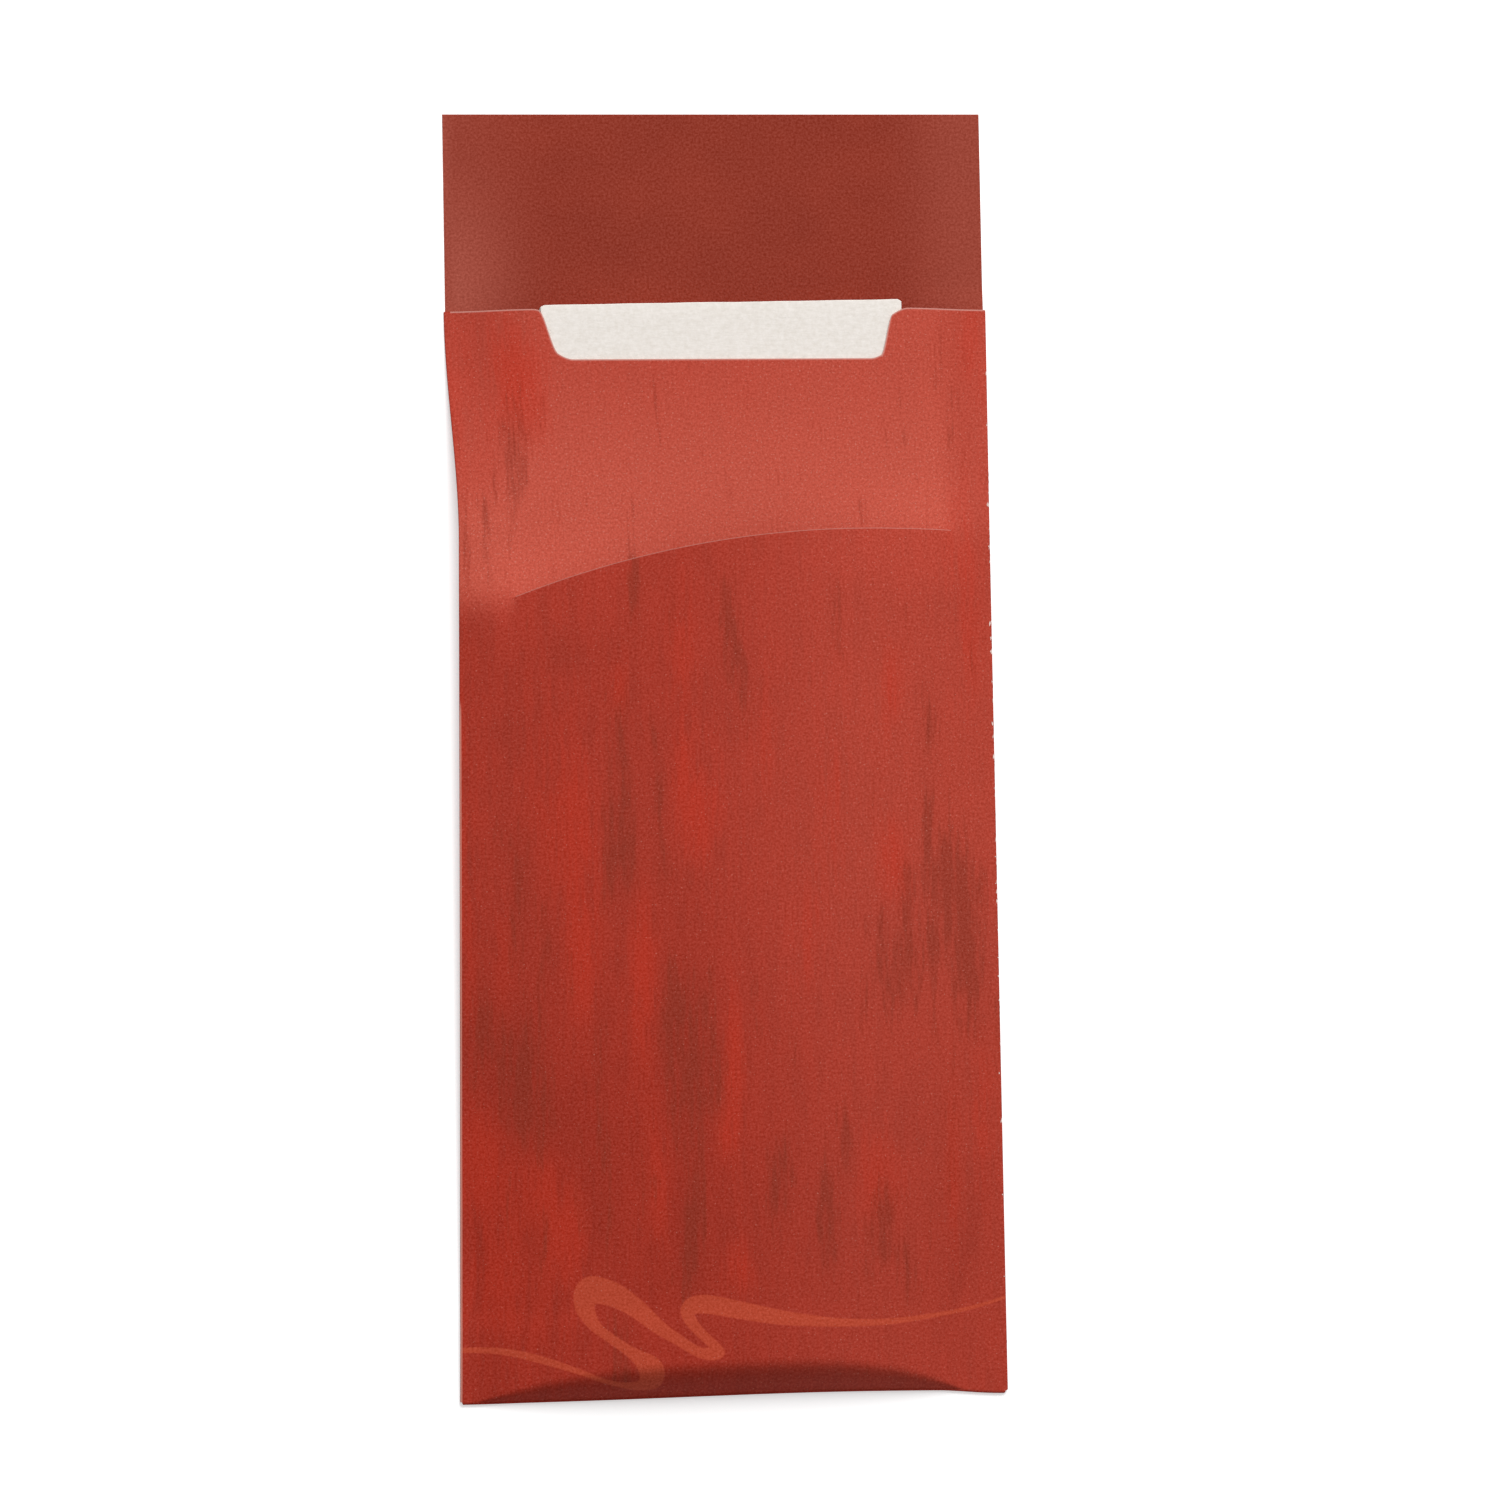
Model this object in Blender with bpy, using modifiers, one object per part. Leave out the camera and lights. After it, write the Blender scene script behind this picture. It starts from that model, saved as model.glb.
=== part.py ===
"""Paper cutlery bag: one printed sheet folded into a flat bag, with a folded napkin inside.

The bag lies on its back. X runs across it, Y runs from its closed bottom to its open top,
and Z is up. Sizes are in millimetres, and turn into metres when the points are placed.
The sheet starts as a flat grid cut to the pattern's outline. Its slit is cut, every point is
folded to its place, and the surface then gets the paper's thickness.
"""

import math

import bmesh
import bpy

MM = 0.001
SAME_PLACE = 1e-6

# Driving sizes of the paper and its pattern
PAPER = 0.2
GLUE_GAP = 0.1
BAG_WIDTH = 85.0
FRONT_HEIGHT = 169.0
BACK_ABOVE_FRONT = 31.0
SIDE_FLAP = 10.0
BOTTOM_FLAP = 10.0
FLAP_MITRE_GAP = 0.4
FLAP_TAPER = 0.35

# Thumb notch in the top edge of the front
NOTCH_CENTRE = 0.8
NOTCH_FLOOR_WIDTH = 47.0
NOTCH_FLANK = 5.7
NOTCH_DEPTH = 7.9

# Arc-shaped slit across the front, measured from the folds and the front's top edge
SLIT_LEFT_MARGIN = 8.1
SLIT_RIGHT_MARGIN = 5.8
SLIT_CREST_MARGIN = 14.0
SLIT_CREST_BELOW_TOP = 34.9
SLIT_DROP = 10.3
SLIT_TUCK = 0.7
SLIT_END_GAP = 0.12

# Folded napkin: panels laid to and fro across the bag, each one a doubled leaf
NAPKIN_PANELS = 6
NAPKIN_LAYER = 0.3
NAPKIN_GAP = 0.07
NAPKIN_CENTRE = 0.6
NAPKIN_SIDE_ROOM = 14.0
NAPKIN_BOTTOM = 5.1
NAPKIN_SHOWS = 1.1
NAPKIN_CORNER = 1.0
NAPKIN_CORNER_REACH = 9
CLEARANCE = 0.3

# Shape of the opened, puffed pocket: room above the napkin, and how it rounds off at the sides
TOE_ROOM = 4.1
POCKET_ROOM = 5.2
LIP_ROOM = 5.4
TOE_TOP = 8.0
TOE_GROWTH = 34.0
TOE_SLOPE = 2.0
TOE_ROUNDING = 0.5
TOE_LEAST = 1.2
TOE_CENTRE = 2.0
TOE_LEFT_MARGIN = 3.0
TOE_RIGHT_MARGIN = 7.5
TOE_BULGE = 3.0
POCKET_BULGE = 2.2
SLIT_BLEND = 20.0
SLIT_CURVE = 2.2
GAPE_CURVE = 0.6
TUCK_STARTS = 0.3
TUCK_ENDS = 0.7
SWELL_CURVE = 0.9
LEFT_LIFT = 3.8
RIGHT_LIFT = 2.0
LEFT_DRAW = 1.6
RIGHT_DRAW = 0.35
BOTTOM_PULL = 0.75
BOTTOM_PULL_CENTRE = 17.0
BOTTOM_PULL_SPREAD = 34.0
CORNER_SHARE = 0.125
STEP_RAMP = 4.0

# How finely the sheet is divided
FOLD_STEPS = 4
WRAP_STEPS = 5
FLAP_STEPS = 3
TOE_ROWS = 4
POCKET_ROWS = 17
POCKET_CROWDING = 0.5
NAPKIN_ROW_STEP = 45.0
UPPER_ROWS = 8
HEADER_ROWS = 4
FLANK_STEP = 1.2
EDGE_STEP = 2.3
MIDDLE_STEP = 5.4
FLAT_STEP = 15.0

# Places that follow from the sizes above
PITCH = PAPER + GLUE_GAP
FOLD_RADIUS = PITCH / 2.0
WRAP_RADIUS = PITCH
LEFT_X = -BAG_WIDTH / 2.0 + FOLD_RADIUS + PAPER / 2.0
RIGHT_X = BAG_WIDTH / 2.0 - WRAP_RADIUS - PAPER / 2.0
BOTTOM_Y = WRAP_RADIUS + PAPER / 2.0
BACK_HEIGHT = FRONT_HEIGHT + BACK_ABOVE_FRONT
FLOOR_Z = PAPER / 2.0
SLIT_LEFT = -BAG_WIDTH / 2.0 + SLIT_LEFT_MARGIN
SLIT_RIGHT = BAG_WIDTH / 2.0 - SLIT_RIGHT_MARGIN
SLIT_CREST_X = BAG_WIDTH / 2.0 - SLIT_CREST_MARGIN
SLIT_CREST_Y = FRONT_HEIGHT - SLIT_CREST_BELOW_TOP
NOTCH_LEFT = NOTCH_CENTRE - NOTCH_FLOOR_WIDTH / 2.0
NOTCH_RIGHT = NOTCH_CENTRE + NOTCH_FLOOR_WIDTH / 2.0
NAPKIN_WIDTH = BAG_WIDTH - 2.0 * NAPKIN_SIDE_ROOM
NAPKIN_LEFT = NAPKIN_CENTRE - NAPKIN_WIDTH / 2.0
NAPKIN_RIGHT = NAPKIN_CENTRE + NAPKIN_WIDTH / 2.0
NAPKIN_TOP = FRONT_HEIGHT + NAPKIN_SHOWS
NAPKIN_PITCH = NAPKIN_LAYER + NAPKIN_GAP
NAPKIN_STACK = NAPKIN_PITCH * (NAPKIN_PANELS - 1) + NAPKIN_LAYER
NAPKIN_UNDER = PAPER + PITCH + CLEARANCE
TUCKED_Z = NAPKIN_UNDER + NAPKIN_STACK + CLEARANCE + PAPER / 2.0
LIFT_LEFT = NAPKIN_LEFT - CLEARANCE
LIFT_RIGHT = NAPKIN_RIGHT + CLEARANCE


def clamp(value):
    return min(1.0, max(0.0, value))


def smooth(value):
    t = clamp(value)
    return t * t * (3.0 - 2.0 * t)


def mix(a, b, t):
    return a + (b - a) * t


def spread(start, stop, step):
    """Evenly spaced places from start up to but not on stop, about one step apart."""
    count = max(1, round(abs(stop - start) / step))
    return [mix(start, stop, k / count) for k in range(count)]


def swell(y):
    """How much the puffed pocket pulls on the long edges: most at the slit, none at the ends."""
    if y < SLIT_CREST_Y:
        return max(0.0, y / SLIT_CREST_Y) ** SWELL_CURVE
    return 1.0 - smooth((y - SLIT_CREST_Y) / (FRONT_HEIGHT - SLIT_CREST_Y))


def plan(x, y):
    """Where a point of the flat pattern lands in plan: puffing draws the edges in."""
    t = (x - LEFT_X) / (RIGHT_X - LEFT_X)
    left = LEFT_X + LEFT_DRAW * swell(y)
    right = RIGHT_X - RIGHT_DRAW * swell(y)
    across = (x - BOTTOM_PULL_CENTRE) / BOTTOM_PULL_SPREAD
    pull = BOTTOM_PULL * math.exp(-across * across) * (1.0 - smooth(y / TOE_GROWTH))
    pull *= smooth(t / CORNER_SHARE) * smooth((1.0 - t) / CORNER_SHARE)
    return mix(left, right, t), y + pull


def flap_step(x, y):
    """The back panel steps up by one layer where it lies on the glue flaps."""
    side = smooth((x - (RIGHT_X - SIDE_FLAP - CLEARANCE - STEP_RAMP)) / STEP_RAMP)
    side *= 1.0 - smooth((y - FRONT_HEIGHT - CLEARANCE) / STEP_RAMP)
    foot = 1.0 - smooth((y - BOTTOM_FLAP - BOTTOM_Y - CLEARANCE) / STEP_RAMP)
    return PITCH * max(side, foot)


def edge_lift(x, y):
    """The back's long edges curl up beside the puffed pocket, outside the napkin."""
    left = clamp((LIFT_LEFT - x) / (LIFT_LEFT - LEFT_X))
    right = clamp((x - LIFT_RIGHT) / (RIGHT_X - LIFT_RIGHT))
    return swell(y) * (LEFT_LIFT * left * left + RIGHT_LIFT * right * right)


def back_z(x, y):
    return FLOOR_Z + flap_step(x, y) + edge_lift(x, y)


def slit_y(x):
    """Height of the slit: an arc that rises from its left end to a crest near its right end."""
    away = abs(min(SLIT_RIGHT, max(SLIT_LEFT, x)) - SLIT_CREST_X)
    return SLIT_CREST_Y - SLIT_DROP * (away / (SLIT_CREST_X - SLIT_LEFT)) ** SLIT_CURVE


def slit_gape(x):
    """How far the slit stands open: 0 at its ends and beyond them, 1 in its middle."""
    t = (2.0 * x - SLIT_LEFT - SLIT_RIGHT) / (SLIT_RIGHT - SLIT_LEFT)
    return max(0.0, 1.0 - t * t) ** GAPE_CURVE


def upper_slit_y(x):
    """The slit's upper edge tucks a little way under its lip, except at the slit's ends."""
    gape = slit_gape(x)
    if gape <= 0.0:
        return slit_y(x)
    tucked = smooth((gape - TUCK_STARTS) / (TUCK_ENDS - TUCK_STARTS))
    return slit_y(x) + mix(SLIT_END_GAP, -SLIT_TUCK, tucked)


def notch_y(x):
    """The front's top edge, with S-shaped flanks down to the thumb notch's flat floor."""
    outside = max(NOTCH_LEFT - x, x - NOTCH_RIGHT) / NOTCH_FLANK
    return FRONT_HEIGHT - NOTCH_DEPTH * (1.0 - smooth(outside))


def puff(x, y):
    """Height of the puffed pocket above the line between its two long edges."""
    grown = smooth((y - TOE_TOP) / TOE_GROWTH)
    left = mix(-BAG_WIDTH / 2.0 + TOE_LEFT_MARGIN, LEFT_X, grown)
    right = mix(BAG_WIDTH / 2.0 - TOE_RIGHT_MARGIN, RIGHT_X, grown)
    bulge = mix(TOE_BULGE, POCKET_BULGE, grown)
    t = clamp(max((TOE_CENTRE - x) / (TOE_CENTRE - left), (x - TOE_CENTRE) / (right - TOE_CENTRE)))
    room = mix(TOE_ROOM, POCKET_ROOM, grown)
    room = mix(room, LIP_ROOM, smooth((y - SLIT_CREST_Y) / TOE_GROWTH + 1.0))
    return (NAPKIN_STACK + room) * (1.0 - t ** bulge)


def toe_y(x):
    """Where the steep toe of the pocket meets its front: a lens-shaped bend."""
    return BOTTOM_Y + max(TOE_LEAST, puff(x, TOE_TOP) / TOE_SLOPE)


def rounded_toe(top, slope):
    """The lower of the pocket's top and its toe's slope, with a rounded bend between them."""
    if top <= 0.0:
        return 0.0
    reach = TOE_ROUNDING * top
    share = clamp(0.5 + 0.5 * (slope - top) / reach)
    return mix(slope, top, share) - reach * share * (1.0 - share)


def pocket_z(x, y):
    t = (x - LEFT_X) / (RIGHT_X - LEFT_X)
    edges = mix(back_z(LEFT_X, y), back_z(RIGHT_X, y), t)
    return edges + PITCH + rounded_toe(puff(x, y), TOE_SLOPE * (y - BOTTOM_Y))


def tucked_z(x, y):
    """The front above the slit lies on the napkin and runs on to the long folds."""
    left = mix(back_z(LEFT_X, y) + PITCH, TUCKED_Z, smooth((x - LEFT_X) / (LIFT_LEFT - LEFT_X)))
    right = mix(back_z(RIGHT_X, y) + PITCH, TUCKED_Z, smooth((RIGHT_X - x) / (RIGHT_X - LIFT_RIGHT)))
    return left if x < NAPKIN_CENTRE else right


def front_z(x, y, above_slit):
    low = pocket_z(x, y)
    high = tucked_z(x, y)
    joined = mix(low, high, smooth((y - slit_y(x)) / SLIT_BLEND + 0.5))
    return mix(joined, high if above_slit else low, slit_gape(x))


def front_lines():
    """Lines across the front, right to left, through the slit's ends and the notch's flanks."""
    marks = [LEFT_X, SLIT_LEFT, NOTCH_LEFT - NOTCH_FLANK, NOTCH_LEFT,
             NOTCH_RIGHT, NOTCH_RIGHT + NOTCH_FLANK, SLIT_RIGHT, RIGHT_X]
    steps = [EDGE_STEP, EDGE_STEP, FLANK_STEP, MIDDLE_STEP, FLANK_STEP, EDGE_STEP, EDGE_STEP]
    places = [RIGHT_X]
    for start, stop, step in zip(marks, marks[1:], steps):
        places += spread(start, stop, step)
    return sorted(places, reverse=True)


def back_lines():
    """Lines across the back, left to right, closer where it curls up or steps over the flap."""
    marks = [LEFT_X, LIFT_LEFT, LIFT_RIGHT, RIGHT_X]
    steps = [2.0 * EDGE_STEP, FLAT_STEP, 2.0 * EDGE_STEP]
    places = [RIGHT_X, RIGHT_X - SIDE_FLAP - CLEARANCE]
    for start, stop, step in zip(marks, marks[1:], steps):
        places += spread(start, stop, step)
    return sorted(places)


FRONT_LINES = front_lines()
BACK_LINES = back_lines()

# The pattern's columns from left to right and its rows from bottom to top
WRAP_COLUMN = FLAP_STEPS
FRONT_COLUMN = WRAP_COLUMN + WRAP_STEPS
FOLD_COLUMN = FRONT_COLUMN + len(FRONT_LINES) - 1
BACK_COLUMN = FOLD_COLUMN + FOLD_STEPS
LAST_COLUMN = BACK_COLUMN + len(BACK_LINES) - 1
WRAP_ROW = FLAP_STEPS
FRONT_ROW = WRAP_ROW + WRAP_STEPS
SLIT_ROW = FRONT_ROW + TOE_ROWS + POCKET_ROWS
HEADER_ROW = SLIT_ROW + UPPER_ROWS
LAST_ROW = HEADER_ROW + HEADER_ROWS


def row_y(x, row, above_slit):
    """Height of a row of the pattern: rows follow the toe's bend, the slit and the notch."""
    if row > HEADER_ROW:
        return mix(FRONT_HEIGHT, BACK_HEIGHT, (row - HEADER_ROW) / HEADER_ROWS)
    if row > SLIT_ROW or above_slit:
        return mix(upper_slit_y(x), notch_y(x), (row - SLIT_ROW) / UPPER_ROWS)
    if row > FRONT_ROW + TOE_ROWS:
        t = (row - FRONT_ROW - TOE_ROWS) / POCKET_ROWS
        return mix(toe_y(x), slit_y(x), t * mix(POCKET_CROWDING, 1.0, t))
    return mix(BOTTOM_Y, toe_y(x), (row - FRONT_ROW) / TOE_ROWS)


def on_front(x, y, above_slit):
    px, py = plan(x, y)
    return px, py, front_z(x, y, above_slit)


def on_back(x, row):
    left = row_y(LEFT_X, row, False)
    right = row_y(RIGHT_X, row, False)
    y = mix(left, right, (x - LEFT_X) / (RIGHT_X - LEFT_X))
    px, py = plan(x, y)
    return px, py, back_z(x, y)


def round_left_fold(turn, row):
    """From the front (turn 0) round the left edge to the back (turn 1)."""
    y = row_y(LEFT_X, row, False)
    px, py = plan(LEFT_X, y)
    angle = math.pi * turn
    middle = back_z(LEFT_X, y) + FOLD_RADIUS
    return px - FOLD_RADIUS * math.sin(angle), py, middle + FOLD_RADIUS * math.cos(angle)


def side_flap_y(row, out):
    """The side flap is mitred at its foot and tapered at its top."""
    foot = BOTTOM_Y + FLAP_MITRE_GAP + out
    top = FRONT_HEIGHT - FLAP_TAPER * out
    t = (row_y(RIGHT_X, row, False) - BOTTOM_Y) / (FRONT_HEIGHT - BOTTOM_Y)
    return mix(foot, top, t)


def round_right_fold(turn, row):
    """From the front (turn 0) round the back's right edge to the side flap (turn 1)."""
    y = mix(row_y(RIGHT_X, row, False), side_flap_y(row, 0.0), turn)
    px, py = plan(RIGHT_X, y)
    angle = math.pi * turn
    return px + WRAP_RADIUS * math.sin(angle), py, back_z(RIGHT_X, y) + WRAP_RADIUS * math.cos(angle)


def on_side_flap(out, row):
    x = RIGHT_X - out
    y = side_flap_y(row, out)
    px, py = plan(x, y)
    return px, py, back_z(x, y) - PITCH


def bottom_flap_x(x, out):
    """The bottom flap is mitred at its right end and tapered at its left end."""
    left = LEFT_X + FLAP_MITRE_GAP + FLAP_TAPER * out
    right = RIGHT_X - FLAP_MITRE_GAP - out
    return mix(left, right, (x - LEFT_X) / (RIGHT_X - LEFT_X))


def round_bottom_fold(x, turn):
    """From the front (turn 0) round the back's bottom edge to the bottom flap (turn 1)."""
    x = mix(x, bottom_flap_x(x, 0.0), turn)
    px, py = plan(x, BOTTOM_Y)
    angle = math.pi * turn
    return px, py - WRAP_RADIUS * math.sin(angle), back_z(x, BOTTOM_Y) + WRAP_RADIUS * math.cos(angle)


def on_bottom_flap(x, out):
    x = bottom_flap_x(x, out)
    y = BOTTOM_Y + out
    px, py = plan(x, y)
    return px, py, back_z(x, y) - PITCH


def in_pattern(column, row):
    """Whether the face that starts at this column and row is part of the flat pattern."""
    if row < FRONT_ROW:
        return FRONT_COLUMN <= column < FOLD_COLUMN
    return row < HEADER_ROW or column >= BACK_COLUMN


def on_slit(column, row):
    """Whether the edge that starts at this column and row is cut by the slit."""
    if row != SLIT_ROW or not FRONT_COLUMN <= column < FOLD_COLUMN:
        return False
    right = FRONT_LINES[column - FRONT_COLUMN]
    left = FRONT_LINES[column + 1 - FRONT_COLUMN]
    return left > SLIT_LEFT - SAME_PLACE and right < SLIT_RIGHT + SAME_PLACE


def fold_bag(column, row, above_slit):
    """Where a point of the flat pattern lies on the folded bag."""
    if column >= BACK_COLUMN:
        return on_back(BACK_LINES[column - BACK_COLUMN], row)
    if column > FOLD_COLUMN:
        return round_left_fold((column - FOLD_COLUMN) / FOLD_STEPS, row)
    if column < WRAP_COLUMN:
        return on_side_flap(SIDE_FLAP * (WRAP_COLUMN - column) / FLAP_STEPS, row)
    if column < FRONT_COLUMN:
        return round_right_fold((FRONT_COLUMN - column) / WRAP_STEPS, row)
    x = FRONT_LINES[column - FRONT_COLUMN]
    if row < WRAP_ROW:
        return on_bottom_flap(x, BOTTOM_FLAP * (WRAP_ROW - row) / FLAP_STEPS)
    if row < FRONT_ROW:
        return round_bottom_fold(x, (FRONT_ROW - row) / WRAP_STEPS)
    return on_front(x, row_y(x, row, above_slit), above_slit)


def flat_grid(columns, rows):
    """A flat grid of faces whose points stand on whole numbers."""
    grid = bmesh.new()
    bmesh.ops.create_grid(grid, x_segments=columns, y_segments=rows, size=1.0)
    for vertex in grid.verts:
        vertex.co.x = round((vertex.co.x + 1.0) / 2.0 * columns)
        vertex.co.y = round((vertex.co.y + 1.0) / 2.0 * rows)
    return grid


def bag_sheet():
    sheet = flat_grid(LAST_COLUMN, LAST_ROW)
    waste = []
    for face in sheet.faces:
        corner_x = min(vertex.co.x for vertex in face.verts)
        corner_y = min(vertex.co.y for vertex in face.verts)
        if not in_pattern(corner_x, corner_y):
            waste.append(face)
    bmesh.ops.delete(sheet, geom=waste, context="FACES")
    cut = []
    for edge in sheet.edges:
        a, b = edge.verts
        if a.co.y == b.co.y and on_slit(int(min(a.co.x, b.co.x)), a.co.y):
            cut.append(edge)
    bmesh.ops.split_edges(sheet, edges=cut)
    places = []
    for vertex in sheet.verts:
        above_slit = all(face.calc_center_median().y > SLIT_ROW for face in vertex.link_faces)
        places.append(fold_bag(int(vertex.co.x), int(vertex.co.y), above_slit))
    for vertex, place in zip(sheet.verts, places):
        vertex.co = place
    return sheet


def napkin_lines():
    """The napkin seen from its end, to and fro: each point's place across it and its height."""
    radius = NAPKIN_PITCH / 2.0
    reach = NAPKIN_WIDTH / 2.0 - radius - NAPKIN_LAYER / 2.0
    points = []
    for panel in range(NAPKIN_PANELS):
        side = 1.0 if panel % 2 == 0 else -1.0
        z = NAPKIN_UNDER + NAPKIN_LAYER / 2.0 + panel * NAPKIN_PITCH
        points += [(x, z) for x in spread(-side * reach, side * reach, FLAT_STEP)]
        points.append((side * reach, z))
        if panel < NAPKIN_PANELS - 1:
            for step in range(1, FOLD_STEPS):
                angle = math.pi * step / FOLD_STEPS
                across = side * (reach + radius * math.sin(angle))
                points.append((across, z + radius - radius * math.cos(angle)))
    return points


def napkin_sheet():
    """The folded strip drawn out along the bag, with its two top corners rounded."""
    lines = napkin_lines()
    rows = spread(NAPKIN_BOTTOM, NAPKIN_TOP - NAPKIN_CORNER, NAPKIN_ROW_STEP)
    rows += spread(NAPKIN_TOP - NAPKIN_CORNER, NAPKIN_TOP, NAPKIN_CORNER / 2.0)
    rows.append(NAPKIN_TOP)
    sheet = flat_grid(len(lines) - 1, len(rows) - 1)
    for vertex in sheet.verts:
        across, z = lines[int(vertex.co.x)]
        y = rows[int(vertex.co.y)]
        outside = clamp((abs(across) - NAPKIN_WIDTH / 2.0) / NAPKIN_CORNER + 1.0)
        drop = NAPKIN_CORNER * (1.0 - math.sqrt(1.0 - outside * outside))
        along = (y - NAPKIN_BOTTOM) / (NAPKIN_TOP - NAPKIN_BOTTOM)
        vertex.co = (NAPKIN_CENTRE + across, y - drop * along ** NAPKIN_CORNER_REACH, z)
    return sheet


def material(name, colour, roughness):
    paint = bpy.data.materials.new(name)
    paint.use_nodes = True
    shader = paint.node_tree.nodes["Principled BSDF"]
    shader.inputs["Base Color"].default_value = (*colour, 1.0)
    shader.inputs["Roughness"].default_value = roughness
    return paint


def sheet_object(name, sheet, thickness, paint, collection):
    """Turns a folded sheet into an object with thickness, its origin at the bag's middle."""
    for vertex in sheet.verts:
        vertex.co.y -= BACK_HEIGHT / 2.0
        vertex.co *= MM
    mesh = bpy.data.meshes.new(name)
    sheet.to_mesh(mesh)
    sheet.free()
    mesh.shade_smooth()
    mesh.materials.append(paint)
    piece = bpy.data.objects.new(name, mesh)
    collection.objects.link(piece)
    shell = piece.modifiers.new("thickness", "SOLIDIFY")
    shell.thickness = thickness * MM
    shell.offset = 0.0
    shell.use_even_offset = True
    shell.use_quality_normals = True
    return piece


def main():
    for old in list(bpy.data.objects):
        bpy.data.objects.remove(old)
    collection = bpy.data.collections.new("paper cutlery bag")
    bpy.context.scene.collection.children.link(collection)
    printed = material("printed paper", (0.38, 0.045, 0.027), 0.75)
    tissue = material("white tissue", (0.80, 0.76, 0.70), 0.95)
    sheet_object("paper_bag", bag_sheet(), PAPER, printed, collection)
    sheet_object("napkin", napkin_sheet(), NAPKIN_LAYER, tissue, collection)


main()
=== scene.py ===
"""Paper cutlery bag: the finished look of the printed bag and of the folded napkin inside it.

The bag lies on its back. X runs across it, Y runs to its open top and Z is up. Lengths are in
millimetres until a point is placed, and heights along the bag are counted from its bottom fold.
"""
import math
import random

import bmesh
import bpy
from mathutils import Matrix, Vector, noise


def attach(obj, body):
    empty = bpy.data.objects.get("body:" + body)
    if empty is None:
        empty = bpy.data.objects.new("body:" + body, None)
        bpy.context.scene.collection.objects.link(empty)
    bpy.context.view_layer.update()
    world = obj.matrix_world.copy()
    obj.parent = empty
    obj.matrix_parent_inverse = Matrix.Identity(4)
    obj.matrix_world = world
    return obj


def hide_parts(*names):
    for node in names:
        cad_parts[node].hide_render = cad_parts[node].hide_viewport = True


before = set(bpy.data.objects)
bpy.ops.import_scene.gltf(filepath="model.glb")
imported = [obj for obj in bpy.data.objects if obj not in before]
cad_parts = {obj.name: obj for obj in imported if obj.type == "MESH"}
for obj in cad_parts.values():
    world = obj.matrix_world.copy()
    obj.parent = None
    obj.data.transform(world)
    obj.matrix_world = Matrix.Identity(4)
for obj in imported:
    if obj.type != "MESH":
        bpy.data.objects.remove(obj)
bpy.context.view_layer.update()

MM = 0.001

# The folded bag
PAPER = 0.2
GLUE_GAP = 0.1
BAG_WIDTH = 85.0
FRONT_HEIGHT = 169.0
BACK_HEIGHT = 200.0
FLAP = 10.0
FLAP_MITRE_GAP = 0.4
FLAP_TAPER = 0.35
CLEARANCE = 0.3

# The thumb notch and the arc-shaped slit
NOTCH_LEFT = -22.8
NOTCH_RIGHT = 23.8
NOTCH_FLANK = 6.1
NOTCH_DEPTH = 7.9
STEEP_LEFT_FROM = -25.1
STEEP_LEFT_WIDTH = 2.8
STEEP_RIGHT_FROM = 25.5
STEEP_RIGHT_WIDTH = 1.9
STEEP_SHARE = 0.65
SLIT_LEFT = -34.4
SLIT_RIGHT = 36.7
SLIT_CREST_X = 28.5
SLIT_CREST_Y = 134.1
SLIT_DROP = 10.3
SLIT_TUCK = 0.7
SLIT_END_GAP = 0.12

# The puffed pocket
TOE_TOP = 8.0
TOE_GROWTH = 34.0
TOE_ROOM = 4.1
POCKET_ROOM = 5.2
LIP_ROOM = 5.4
TOE_SLOPE = 2.0
TOE_ROUNDING = 0.7
TOE_LEAST = 1.2
TOE_CENTRE = 2.0
TOE_LEFT = -39.5
TOE_RIGHT = 35.0
TOE_BULGE = 3.0
POCKET_BULGE = 2.2
SLIT_BLEND = 20.0
SLIT_CURVE = 2.2
GAPE_CURVE = 0.6
TUCK_STARTS = 0.1
TUCK_ENDS = 0.3
SWELL_CURVE = 0.9
LEFT_LIFT = 3.8
RIGHT_LIFT = 2.0
LEFT_DRAW = 1.6
RIGHT_DRAW = 0.35
BOTTOM_PULL = 0.75
BOTTOM_PULL_CENTRE = 17.0
BOTTOM_PULL_SPREAD = 34.0
CORNER_SHARE = 0.125
STEP_RAMP = 4.0

# The slight waves that handling leaves in the front
WAVE_HEIGHT = 0.32
WAVE_WIDTH = 17.0
WAVE_LENGTH = 38.0
WAVE_SEED = 4.0
WAVE_MARGIN = 12.0
WAVE_FOOT_FADE = 25.0
WAVE_TOP = 100.0
WAVE_TOP_FADE = 30.0

# The napkin, folded in half and then to and fro
NAPKIN_PANELS = 6
NAPKIN_WIDTH = 57.0
NAPKIN_CENTRE = 0.6
NAPKIN_BOTTOM = 5.1
NAPKIN_TOP = 170.1
NAPKIN_LAYER = 0.3
NAPKIN_PITCH = 0.37
NAPKIN_CORNER = 1.0
NAPKIN_CORNER_REACH = 9
NAPKIN_CROWDING = 0.46
NAPKIN_TURN = 0.014
NAPKIN_WAVE = 0.15
NAPKIN_WAVE_WIDTH = 9.0
NAPKIN_WAVE_FROM = 120.0
NAPKIN_WAVE_FADE = 40.0
NAPKIN_STEP = 2.5
NAPKIN_LEAVES = 2
FOLD_FACETS = 6
TISSUE = 0.1

# Edges that turn by more than this are shaded sharp
SHARP_ANGLE = math.radians(40.0)

# Flecks of cracked print on the right fold: how many to a square metre, their size and their lift
FLECK_DENSITY = 2.0e6
FLECK_SIZE = 0.42
FLECK_LIFT = 0.02
FLECK_SEED = 4
FLECK_CORNERS = 7

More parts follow.
